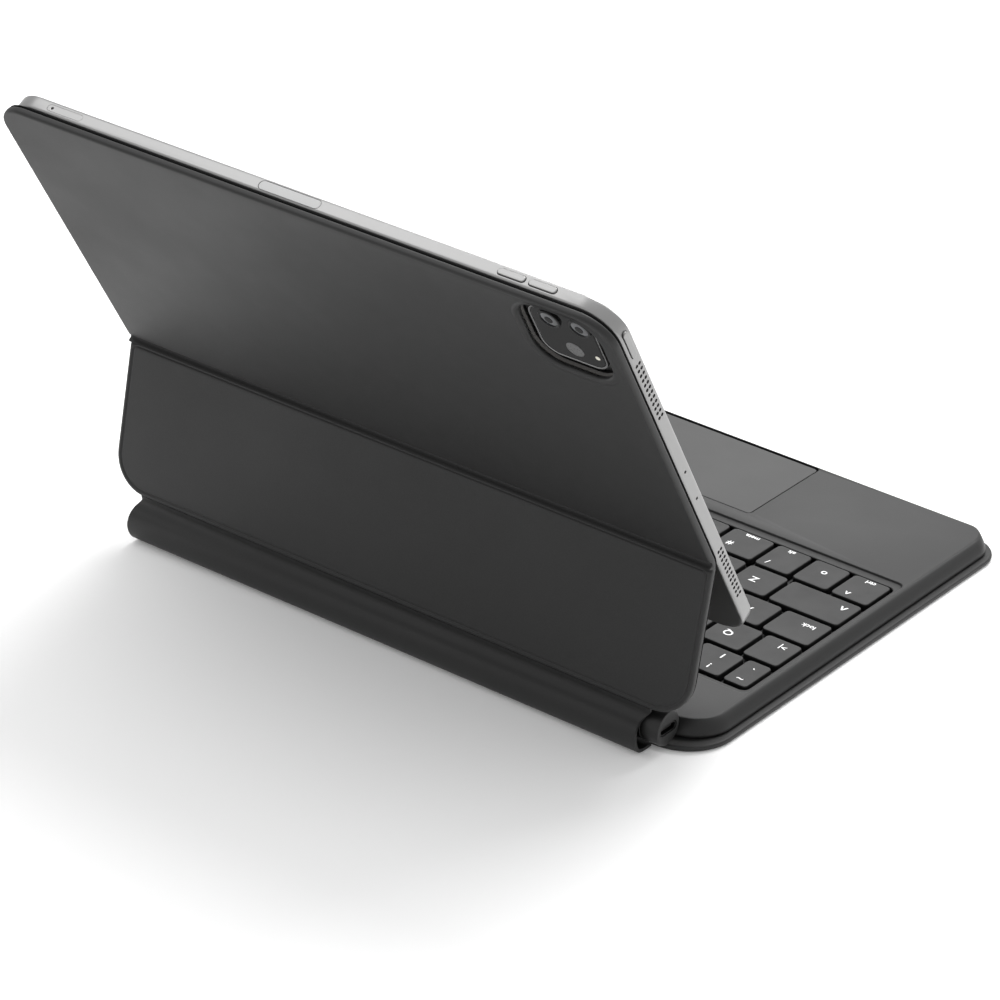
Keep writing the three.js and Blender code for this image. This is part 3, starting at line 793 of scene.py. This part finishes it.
def make_cover_skin():
    bm = bmesh.new()
    edge = [
        (1.2, 0), (0.9, 0), (0.5, 0.1), (0.2, 0.33), (0.03, 0.75), (0, 1.2), (0, 1.9),
        (0.1, 2.35), (0.4, 2.55), (0.75, 2.45), (0.9, 2.1), (0.95, 1.3), (1.3, 1.2),
    ]
    face, inside = stacked(bm, cover_outline(), edge)
    border = [
        (3.5, 0), (3.2, -0.04), (2.7, -0.22), (2.1, -0.38), (1.3, -0.44), (0.6, -0.34),
        (0.15, -0.05), (0, 0.3), (0, 1.0), (0.2, 1.2),
    ]
    border_top, border_inside = window_rings(bm, border)
    seam = outline(
        -COVER["half"] + FLAP_SEAM["inset"], COVER["flap"] + FLAP_SEAM["inset"],
        COVER["half"] - FLAP_SEAM["inset"], FLAP_SEAM["top"],
        FLAP_SEAM["corner"], FLAP_SEAM["top_corner"], CORNER_STEPS)
    seam_outside, seam_inside = stacked(bm, seam, SEAM_GROOVE)
    lid(bm, face, border_top, seam_outside)
    lid(bm, seam_inside)
    lid(bm, inside, border_inside)
    bend_cuts(bm)
    for vert in bm.verts:
        if vert.co.z < FOLDED_FACE and vert.co.y > FLAP_SEAM["top"] - FOLDS_REACH:
            for up, depth, width in FOLD_LINES:
                vert.co.z += depth * math.exp(-((vert.co.y - up) / width) ** 2)
    skin = piece("cover_outer_skin", bm, on_cover, COVER_SKIN, None, 50)
    blend_over_crease(skin)
    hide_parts("flap_outer_skin", "panel_outer_skin")


def blend_over_crease(skin):
    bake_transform(skin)


def lining_finish():
    finish = Finish("microfibre_lining", Specular_IOR_Level=0.06)
    fibres = finish.noise(2600, 4, 0.7, (1, 0.35, 0.35))
    nap = finish.noise(40, 3)
    tone = fibres * 0.5 + nap * 0.5
    finish.feed("Base Color", finish.mix(tone, grey(0.004), grey(0.008)))
    finish.feed("Roughness", finish.spread(fibres, 0.8, 0.95))
    finish.bump(fibres, 0.00008, 0.6)
    return finish.material


LINING = lining_finish()


def make_lining():
    bm = bmesh.new()
    edge = [(1.2, 2.65), (0.5, 2.65), (0.25, 2.8), (0.2, 3.1), (0.3, 3.4), (0.6, 3.55), (1.0, 3.55)]
    back, front = stacked(bm, cover_outline(0.1), edge)
    border = [(0.2, 2.65), (0.1, 2.9), (0.1, 3.3), (0.3, 3.55)]
    window_back, window_front = window_rings(bm, border)
    lid(bm, back, window_back)
    lid(bm, front, window_front)
    bend_cuts(bm)
    lining = piece("cover_lining", bm, on_cover, LINING, None, 50)
    blend_over_crease(lining)
    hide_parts("flap_inner_skin", "panel_inner_skin")


make_cover_skin()
make_lining()

# ---- Spine -------------------------------------------------------------------------------
# The skin runs on round the hinge barrel as a stiff rounded spine. Between the spine and
# the flap it is thin and free; the real skin wraps round the barrel as the case closes, but
# this one is built in the open shape only.

SPINE = {
    "left": -107, "right": 115.4, "thick": 1.2, "free_from": 15.2, "free_share": 0.55,
    "bulge": 1.0, "bulge_height": 6, "bulge_spread": 5.0,
    "neck_left": -110.5, "neck_right": 112.2, "neck_from": 13.0, "neck_over": 5.5,
}
# Round the spine from under the base to the foot of the flap, as (along Y, up).
SPINE_LINE = [
    (95.6, 0.5), (100.4, 0.45), (103.5, 1.4), (105.4, 4.4), (106.1, 8.5),
    (105.4, 11.6), (103.2, 13.9), (102.3, 16.4), (103.3, 19.4),
]
SPINE_ROWS = 44
SPINE_COLUMNS = 24


def smooth_line(points, count):
    """Even steps along a smooth curve through the points."""
    padded = [points[0]] + points + [points[-1]]
    made = []
    for step in range(count + 1):
        along = step / count * (len(points) - 1)
        index = min(int(along), len(points) - 2)
        share = along - index
        before, first, second, after = [Vector(padded[index + k]) for k in range(4)]
        made.append(0.5 * (
            2 * first + (second - before) * share
            + (2 * before - 5 * first + 4 * second - after) * share ** 2
            + (3 * first - before - 3 * second + after) * share ** 3))
    return made


def spine_across(share, height):
    """Where a point lies across the spine: it bulges low down and draws in to the flap."""
    drawn = min(max((height - SPINE["neck_from"]) / SPINE["neck_over"], 0), 1)
    draw_in = drawn * drawn * (3 - 2 * drawn)
    above = (height - SPINE["bulge_height"]) / SPINE["bulge_spread"]
    bulge = SPINE["bulge"] * math.exp(-above ** 2)
    left = SPINE["left"] + (SPINE["neck_left"] - SPINE["left"]) * draw_in
    right = SPINE["right"] + bulge + (SPINE["neck_right"] - SPINE["right"]) * draw_in
    return left + (right - left) * share


def wall_strip(bm, first, second):
    for index in range(len(first) - 1):
        bm.faces.new((first[index], first[index + 1], second[index + 1], second[index]))


def make_spine():
    bm = bmesh.new()
    outer = smooth_line(SPINE_LINE, SPINE_ROWS)
    rows = []
    for side in (0, 1):
        for index, spot in enumerate(outer):
            ahead = outer[min(index + 1, SPINE_ROWS)] - outer[max(index - 1, 0)]
            normal = Vector((-ahead.y, ahead.x)).normalized()
            share = SPINE["free_share"] if spot.y > SPINE["free_from"] else 1
            thick = SPINE["thick"] * share
            place = spot + normal * thick * side
            rows.append([
                bm.verts.new((spine_across(column / SPINE_COLUMNS, spot.y), place.x, place.y))
                for column in range(SPINE_COLUMNS + 1)])
    count = SPINE_ROWS + 1
    outer_rows, inner_rows = rows[:count], rows[count:]
    for sheet in (outer_rows, inner_rows):
        for lower, upper in zip(sheet, sheet[1:]):
            wall_strip(bm, lower, upper)
    for end in (0, SPINE_COLUMNS):
        wall_strip(bm, [row[end] for row in outer_rows], [row[end] for row in inner_rows])
    wall_strip(bm, outer_rows[0], inner_rows[0])
    wall_strip(bm, outer_rows[-1], inner_rows[-1])
    spine = piece("spine_skin", bm, flat, COVER_SKIN, None, 60)
    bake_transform(spine)
    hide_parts("spine_cover")


make_spine()

# ---- Hinge -------------------------------------------------------------------------------
# A dark anodised tube lies in the spine. Its left end cap holds the charging socket, and
# the steel arms of the flap reach in through two windows to the axle.

BARREL = {"left": -106.2, "right": 112, "radius": 6.4, "wall": 1.0}
CAP = {"outer": -113.5, "inner": -106.5, "right_inner": 112.3, "right_outer": 114.8}
SOCKET_HOLE = {"half_long": 4.75, "half_high": 1.9}
ARM_WINDOWS = {"inner": 61, "outer": 87, "from": 52, "to": 158, "reach": 9, "steps": 12}
ROUND_STEPS = 64


def on_barrel(point):
    """From (along Y, up, across) about the hinge line to a place in the room."""
    return HINGE + Vector((point[2], point[0], point[1]))


def circle(radius, steps=ROUND_STEPS):
    angles = [2 * math.pi * step / steps for step in range(steps)]
    return [(radius * math.cos(angle), radius * math.sin(angle)) for angle in angles]


def one_pattern(name, pattern, colors, roughness, relief=None, **constants):
    """A finish in which one pattern shifts the colour, the roughness and any relief."""
    finish = Finish(name, **constants)
    kind, *scales = pattern
    value = getattr(finish, kind)(*scales)
    finish.feed("Base Color", finish.mix(value, *colors))
    finish.feed("Roughness", finish.spread(value, *roughness))
    if relief:
        finish.bump(value, *relief)
    return finish.material


def greys(low, high, warmth=0.0):
    return grey(low, warmth), grey(high, warmth)


def anodised_finish():
    finish = Finish("dark_anodised", Metallic=1.0)
    blast = finish.noise(7000, 2)
    drift = finish.noise(60, 3, 0.5, (0.2, 1, 1))
    finish.feed("Base Color", finish.mix(drift, grey(0.02), grey(0.035)))
    finish.feed("Roughness", finish.spread(blast, 0.34, 0.5))
    finish.bump(blast, 0.00001, 0.4)
    return finish.material


ANODISED = anodised_finish()
CAP_RESIN = one_pattern(
    "cap_resin", ("noise", 3600, 3), greys(0.004, 0.008), (0.36, 0.5), (0.00002, 0.4),
    Specular_IOR_Level=0.4)


def make_barrel():
    bm = bmesh.new()
    left, right, radius = BARREL["left"], BARREL["right"], BARREL["radius"]
    inner = radius - BARREL["wall"]
    profile = [
        (inner, left), (radius - 0.2, left), (radius, left + 0.2), (radius, right - 0.2),
        (radius - 0.2, right), (inner, right),
    ]
    stacked(bm, circle, profile, closed=True)
    barrel = piece("hinge_tube", bm, on_barrel, ANODISED, None)
    for side in (-1, 1):
        cutter = make_window_cutter(side)
        cut = barrel.modifiers.new("window", "BOOLEAN")
        cut.object = cutter
        cut.solver = "EXACT"
        settle(barrel)
        bpy.data.objects.remove(cutter)
    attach(barrel, "base")
    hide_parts("hinge_barrel")


def make_window_cutter(side):
    bm = bmesh.new()
    steps, reach = ARM_WINDOWS["steps"], ARM_WINDOWS["reach"]
    sweep = ARM_WINDOWS["to"] - ARM_WINDOWS["from"]
    points = [(0.0, 0.0)]
    for step in range(steps + 1):
        angle = math.radians(ARM_WINDOWS["from"] + sweep * step / steps)
        points.append((reach * math.cos(angle), reach * math.sin(angle)))
    near, far = [ring(bm, points, side * ARM_WINDOWS[end]) for end in ("inner", "outer")]
    wall(bm, near, far)
    lid(bm, near)
    lid(bm, far)
    return piece("window_cutter", bm, on_barrel, ANODISED, None)


def make_left_cap():
    bm = bmesh.new()
    outer, inner, radius = CAP["outer"], CAP["inner"], BARREL["radius"]
    profile = [(radius - 0.9, outer), (radius - 0.6, outer), (radius - 0.18, outer + 0.18),
               (radius, outer + 0.6), (radius, inner - 0.2), (radius - 0.2, inner)]
    face, back = stacked(bm, circle, profile)
    long, high = SOCKET_HOLE["half_long"], SOCKET_HOLE["half_high"]
    hole = outline(-long, -high, long, high, high - HAIR)
    hole_outer, hole_inner = stacked(
        bm, hole, [(-0.05, outer), (0, outer + 0.05), (0, inner)])
    lid(bm, face, hole_outer)
    lid(bm, back, hole_inner)
    cap = piece("hinge_end_cap_left", bm, on_barrel, CAP_RESIN, "base")
    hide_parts("barrel_cap_left")


def make_right_cap():
    radius, inner, outer = BARREL["radius"], CAP["right_inner"], CAP["right_outer"]
    profile = [(radius - 0.3, inner), (radius, inner + 0.3), (radius, outer - 0.6),
               (radius - 0.18, outer - 0.18), (radius - 0.6, outer), (radius - 1, outer)]
    cap = piece("hinge_end_cap_right", block(circle, profile), on_barrel, CAP_RESIN, "base")
    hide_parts("barrel_cap_right")


make_barrel()
make_left_cap()
make_right_cap()

# ---- Tablet ------------------------------------------------------------------------------
# The tablet lies on the panel with its back to it. Its housing is one milled and blasted
# aluminium tray, with drilled speaker and microphone holes, and the glass set in the front.

TABLET = {"half": 123.8, "height": 178.5, "corner": 13, "rim": 5.6, "glass_top": 5.9}
TABLET_BOTTOM = -47.9
TABLET_BACK_DEPTH = 3.8
SIDE_MIDDLE = 2.9
SPEAKERS = [(23.0, 48.8), (124.5, 151.9)]
SPEAKER_HOLES = {"count": 12, "radius": 0.66, "row_gap": 1.55, "depth": 2.0}
MICROPHONES = [79.0, 93.8]
MICROPHONE = {"radius": 0.55, "depth": 0.9}
POWER = {"middle": 162.2, "half": 6.3}
VOLUMES = [("volume_up", -84.7), ("volume_down", -96.6)]
VOLUME_HALF = 5.2
BUTTON = {"half_width": 1.2, "proud": 0.45, "depth": 1.9, "recess": 1.95, "gap": 0.2}
PEN_PAD = {"middle": 3.2, "half": 12.4, "half_width": 1.7, "recess": 0.6, "gap": 0.2}
CARD_TRAY = {
    "middle": 98.5, "half": 7.5, "half_width": 1.3, "recess": 0.9, "gap": 0.06,
    "pin": 104.0, "pin_radius": 0.5,
}


def straight_on_tablet(point):
    """From the tablet's own across, up and towards the typist to a place in the room."""
    way = along_cover(PANEL_ANGLE)
    inward = Vector((0, -way.z, way.y))
    return (CREASE + Vector((point[0], 0, 0)) + way * (point[1] + TABLET_BOTTOM)
            + inward * (point[2] + TABLET_BACK_DEPTH - PIVOT_DEPTH))


def on_left_edge(point):
    """From (up the tablet, across its thickness, out of its left edge)."""
    return straight_on_tablet((-TABLET["half"] - point[2], point[0], SIDE_MIDDLE + point[1]))


def on_right_edge(point):
    return straight_on_tablet((TABLET["half"] + point[2], point[0], SIDE_MIDDLE + point[1]))


def on_top_edge(point):
    return straight_on_tablet((point[0], TABLET["height"] + point[2], SIDE_MIDDLE + point[1]))


def blasted_finish():
    finish = Finish("blasted_aluminium", Metallic=1.0)
    blast = finish.noise(6500, 2)
    drift = finish.noise(45, 3)
    finish.feed("Base Color", finish.mix(drift, grey(0.27, 0.004), grey(0.31, 0.004)))
    finish.feed("Roughness", finish.spread(blast + drift * 0.3, 0.3, 0.42, 0.3, 1.0))
    finish.bump(blast, 0.000012, 0.4)
    return finish.material


ALUMINIUM = blasted_finish()

# Two rows of drills, set out evenly in length.
PERFORATIONS = copies_tree(
    "perforations", {"Count": "Int", "Length": "Float", "Row Gap": "Float", "Radius": "Float",
                     "Depth": "Float"},
    {"grid": "GeometryNodeMeshGrid", "drill": "GeometryNodeMeshCylinder"},
    {"given.Count": "grid.Vertices X", "given.Length": "grid.Size X",
     "given.Row Gap": "grid.Size Y", "given.Radius": "drill.Radius",
     "given.Depth": "drill.Depth", "grid.Mesh": "copies.Points",
     "drill.Mesh": "copies.Instance"},
    {"grid.Vertices Y": 2, "drill.Vertices": 12})


def slot_shape(half_long, half_wide):
    return outline(-half_long, -half_wide, half_long, half_wide, half_wide - HAIR, steps=6)


def shifted(place, along):
    return lambda point: place((point[0] + along, point[1], point[2]))


def housing_cutters():
    """Everything milled or drilled into the housing's edges, as solids to take away."""
    cutters = []
    for place in (on_left_edge, on_right_edge):
        for low, high in SPEAKERS:
            drills = grown(
                "drills", PERFORATIONS, Count=SPEAKER_HOLES["count"], Length=high - low,
                Material=ALUMINIUM, Radius=SPEAKER_HOLES["radius"],
                Depth=SPEAKER_HOLES["depth"], **{"Row Gap": SPEAKER_HOLES["row_gap"]})
            bm = bmesh.new()
            bm.from_mesh(drills.data)
            bpy.data.objects.remove(drills)
            middle = (low + high) / 2
            cutters.append(piece("drills", bm, shifted(place, middle), ALUMINIUM, None))
    radius = MICROPHONE["radius"]
    holes = [(on_left_edge, spot, radius, radius, MICROPHONE["depth"]) for spot in MICROPHONES]
    half_wide, recess = BUTTON["half_width"] + BUTTON["gap"], BUTTON["recess"]
    holes.append((on_left_edge, POWER["middle"], POWER["half"] + BUTTON["gap"], half_wide, recess))
    for _, middle in VOLUMES:
        holes.append((on_top_edge, middle, VOLUME_HALF + BUTTON["gap"], half_wide, recess))
    for inlay in (PEN_PAD, CARD_TRAY):
        holes.append((on_top_edge, inlay["middle"], inlay["half"] + inlay["gap"],
                      inlay["half_width"] + inlay["gap"], inlay["recess"]))
    for place, middle, half_long, half_wide, depth in holes:
        bm = block(slot_shape(half_long, half_wide), [(0, -depth), (0, 1)])
        cutters.append(piece("slot", bm, shifted(place, middle), ALUMINIUM, None))
    return cutters


TABLET_SHAPE = outline(
    -TABLET["half"], 0, TABLET["half"], TABLET["height"], TABLET["corner"], steps=16)
TABLET_SHARP_FROM = 30


def make_housing():
    bm = bmesh.new()
    profile = [
        (1.5, 0), (1.2, 0), (0.75, 0.1), (0.35, 0.35), (0.1, 0.75), (0, 1.2), (0, 4.7),
        (0.08, 5.1), (0.3, 5.45), (0.62, 5.58), (0.9, TABLET["rim"]), (1.5, TABLET["rim"]),
        (1.6, 5.5), (1.6, 4.1), (2.2, 4.0),
    ]
    add_block(bm, TABLET_SHAPE, profile)
    housing = piece("tablet_tray", bm, straight_on_tablet, ALUMINIUM, None, TABLET_SHARP_FROM)
    cutters = housing_cutters()
    for cutter in cutters:
        cut = housing.modifiers.new(cutter.name, "BOOLEAN")
        cut.object = cutter
        cut.solver = "EXACT"
    settle(housing)
    for cutter in cutters:
        bpy.data.objects.remove(cutter)
    housing.data.set_sharp_from_angle(angle=math.radians(TABLET_SHARP_FROM))
    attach(housing, "upper_panel")
    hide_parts("tablet_housing")


BLACK_GLASS = one_pattern(
    "black_glass", ("noise", 60, 4), greys(0.002, 0.004), (0.05, 0.075, 0.3, 0.7),
    (0.00001, 0.1), Specular_IOR_Level=0.13)


def make_display():
    profile = [(2.2, 4.35), (1.75, 4.35), (1.75, 5.6), (1.85, 5.8), (2.05, 5.88),
               (2.4, TABLET["glass_top"]), (2.8, TABLET["glass_top"])]
    display = piece("tablet_front_glass", block(TABLET_SHAPE, profile), straight_on_tablet,
                    BLACK_GLASS, "upper_panel")
    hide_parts("tablet_display")


def make_button(name, node, place, half, body):
    low, high = BUTTON["proud"] - BUTTON["depth"], BUTTON["proud"]
    bm = block(slot_shape(half, BUTTON["half_width"]), rolled(low, high, 0.1, 0.3))
    button = piece(name, bm, place, ALUMINIUM, body)
    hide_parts(node)


PEN_PAD_RESIN = one_pattern(
    "pen_pad_resin", ("noise", 5000, 2), greys(0.43, 0.48), (0.35, 0.45), (0.000008, 0.4))


def make_edge_details():
    pad_shape = slot_shape(PEN_PAD["half"], PEN_PAD["half_width"])
    pad = piece("pen_charging_pad", block(pad_shape, rolled(-0.45, 0.03, 0.05, 0.1)),
                shifted(on_top_edge, PEN_PAD["middle"]), PEN_PAD_RESIN, "upper_panel")
    bm = bmesh.new()
    tray_shape = slot_shape(CARD_TRAY["half"], CARD_TRAY["half_width"])
    bottom, top = stacked(bm, tray_shape, rolled(-0.85, 0.0, 0.05, 0.08))
    lid(bm, bottom)
    radius, middle = CARD_TRAY["pin_radius"], CARD_TRAY["pin"] - CARD_TRAY["middle"]
    pin = outline(middle - radius, -radius, middle + radius, radius, radius - HAIR, steps=4)
    pin_top, pin_bottom = stacked(bm, pin, [(-0.1, 0), (0, -0.1), (0, -0.7)])
    lid(bm, top, pin_top)
    lid(bm, pin_bottom)
    tray = piece("card_tray", bm, shifted(on_top_edge, CARD_TRAY["middle"]), ALUMINIUM,
                 "upper_panel")


make_housing()
make_display()
make_button("power_key", "tablet_power_button", shifted(on_left_edge, POWER["middle"]),
            POWER["half"], "power_button")
for volume_name, volume_middle in VOLUMES:
    make_button(volume_name + "_key", "tablet_" + volume_name,
                shifted(on_top_edge, volume_middle), VOLUME_HALF, volume_name + "_button")
make_edge_details()

# ---- Cameras -----------------------------------------------------------------------------
# A square of black glass in a polished metal rim stands up through the cover's window. It
# holds two ringed lenses, a round depth sensor and a small flash.

PLATEAU = {"x": -104.7, "up": 163.6, "half": 12.8, "corner": 6.5, "face": -2.6}
LENSES = [("tablet_lens_wide", 4.4, 7.6), ("tablet_lens_ultrawide", -7.3, 8.2)]
LENS = {"radius": 4.0, "proud": 0.8}
SENSOR = {"x": -0.8, "up": -6.0, "radius": 3.3}
FLASH = {"x": -9.3, "up": -6.2, "radius": 0.9}


def facing_back(x, up):
    """From (across, up, out of the plateau's face) about a point on the plateau."""
    def place(point):
        across, along, out = PLATEAU["x"] + x + point[0], PLATEAU["up"] + up + point[1], point[2]
        return straight_on_tablet((across, along, PLATEAU["face"] - out))
    return place


POLISHED = one_pattern(
    "polished_rim", ("noise", 200, 3), greys(0.16, 0.24), (0.15, 0.3), Metallic=1.0)
LENS_RING = one_pattern(
    "black_lens_ring", ("noise", 900, 3), greys(0.02, 0.04), (0.25, 0.4), Metallic=1.0)
COATED_LENS = one_pattern(
    "coated_lens", ("noise", 240, 2), ((0.012, 0.01, 0.02, 1), (0.006, 0.014, 0.012, 1)),
    (0.03, 0.08), Specular_IOR_Level=0.6, Coat_Weight=1.0)
SENSOR_WINDOW = one_pattern(
    "sensor_window", ("cells", 1500), greys(0.07, 0.1), (0.25, 0.35), Specular_IOR_Level=0.5)
FLASH_DIFFUSER = one_pattern(
    "flash_diffuser", ("cells", 2600), ((0.85, 0.82, 0.72, 1), (0.6, 0.58, 0.5, 1)),
    (0.2, 0.4), (0.0001, 0.5), Specular_IOR_Level=0.5)


def make_plateau():
    half = PLATEAU["half"]
    square = outline(-half, -half, half, half, PLATEAU["corner"], steps=12)
    glass = [(1.2, -2.3), (0.9, -2.3), (0.9, -0.1), (1.0, 0.0), (1.2, 0.05), (1.6, 0.05)]
    plate = piece("camera_glass", block(square, glass), facing_back(0, 0), BLACK_GLASS,
                  "upper_panel")
    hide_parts("tablet_camera_plateau")
    bm = bmesh.new()
    rim = [(0.85, -2.3), (0, -2.3), (0, -0.15), (0.12, 0.08), (0.35, 0.16), (0.6, 0.12),
           (0.8, 0.0), (0.85, -0.2)]
    stacked(bm, square, rim, closed=True)
    frame_ring = piece("camera_rim", bm, facing_back(0, 0), POLISHED, "upper_panel")


def make_lens(node, x, up):
    radius, proud = LENS["radius"], LENS["proud"]
    name = node.replace("tablet_", "")
    bm = bmesh.new()
    profile = [
        (radius, 0.0), (radius, proud - 0.2), (radius - 0.15, proud), (radius - 0.6, proud + 0.02),
        (radius - 0.8, proud - 0.1), (radius - 0.9, 0.1), (radius - 0.9, 0.0),
    ]
    stacked(bm, lambda size: circle(size, 48), profile, closed=True)
    place = facing_back(x, up)
    holder = piece(name + "_ring", bm, place, LENS_RING, "upper_panel")
    face = [(2.9, 0.05), (3.15, 0.1), (3.15, 0.5), (2.6, 0.62), (1.8, 0.7), (0.9, 0.75), (0.3, 0.76)]
    glass = piece(name + "_glass", block(lambda size: circle(size, 48), face), place,
                  COATED_LENS, "upper_panel")
    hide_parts(node)
    iris = [(1.5, 0.77), (1.5, 0.79), (1.2, 0.8)]
    pupil = piece(name + "_iris", block(lambda size: circle(size, 32), iris), place,
                  BLACK_GLASS, "upper_panel")


def make_round_window(name, facts, material):
    radius = facts["radius"]
    profile = [(radius, 0.0), (radius, 0.12), (radius - 0.1, 0.2), (radius - 0.4, 0.24)]
    window = piece(name, block(lambda size: circle(size, 40), profile),
                   facing_back(facts["x"], facts["up"]), material, "upper_panel")


make_plateau()
for lens_node, lens_x, lens_up in LENSES:
    make_lens(lens_node, lens_x, lens_up)
make_round_window("depth_sensor", SENSOR, SENSOR_WINDOW)
make_round_window("flash", FLASH, FLASH_DIFFUSER)

# ---- Inner parts -------------------------------------------------------------------------
# What stays inside keeps its plain machined shape: boards, magnets, arms, axle, clips,
# bushings, contacts and the frame between the keys. Each takes the finish of its material,
# but the charging socket, the one in sight, is painted near black as shade.


def solder_mask_finish():
    finish = Finish("solder_mask")
    tracks = finish.cells(420, "DISTANCE_TO_EDGE")
    copper = tracks < 0.06
    finish.feed("Base Color", finish.mix(copper, (0.008, 0.04, 0.022, 1), (0.02, 0.09, 0.045, 1)))
    finish.feed("Roughness", finish.spread(tracks, 0.3, 0.45))
    finish.bump(copper, 0.00003, 0.4)
    return finish.material


def fibre_board_finish():
    finish = Finish("fibre_board")
    weave = finish.noise(1500, 3, 0.6, (1, 0.1, 0.1)) + finish.noise(1500, 3, 0.6, (0.1, 1, 1))
    finish.feed("Base Color", finish.mix(weave * 0.5, grey(0.08, 0.04), grey(0.13, 0.04)))
    finish.feed("Roughness", finish.spread(weave, 0.55, 0.7, 0, 2))
    finish.bump(weave, 0.00003, 0.5)
    return finish.material


INNER_FINISHES = {
    "stiffening_board": fibre_board_finish(),
    "black_plastic": one_pattern(
        "black_moulding", ("noise", 3000, 3), greys(0.004, 0.009), (0.5, 0.65), (0.00003, 0.4)),
    "circuit_board": solder_mask_finish(),
    "steel": one_pattern(
        "brushed_steel", ("noise", 1800, 3, 0.6, (0.02, 1, 1)), greys(0.4, 0.55), (0.25, 0.42),
        (0.00001, 0.4), Metallic=1.0),
    "magnet": one_pattern(
        "nickel_plate", ("noise", 300, 4), ((0.52, 0.5, 0.46, 1), (0.62, 0.6, 0.56, 1)),
        (0.2, 0.35), Metallic=1.0),
    "contact_gold": one_pattern(
        "gold_plate", ("noise", 700, 3), ((0.6, 0.43, 0.17, 1), (0.75, 0.56, 0.26, 1)),
        (0.2, 0.35), Metallic=1.0),
}


# The charging socket's steel is darkened to near black: painted shade for the dark inside its hole.
SOCKET_STEEL_PAINTED_SHADE = one_pattern(
    "steel_darkened_as_painted_shade", ("noise", 900, 3), greys(0.03, 0.05), (0.3, 0.45), Metallic=1.0)

for part in frame["record"]["subparts"]:
    shown = frame["nodes"][part["node"]]
    if not shown.hide_render:
        in_sight = part["node"] == "usb_c_port"
        finish_used = SOCKET_STEEL_PAINTED_SHADE if in_sight else INNER_FINISHES[part["material_slot"]]
        for holder in shown.material_slots:
            holder.material = finish_used
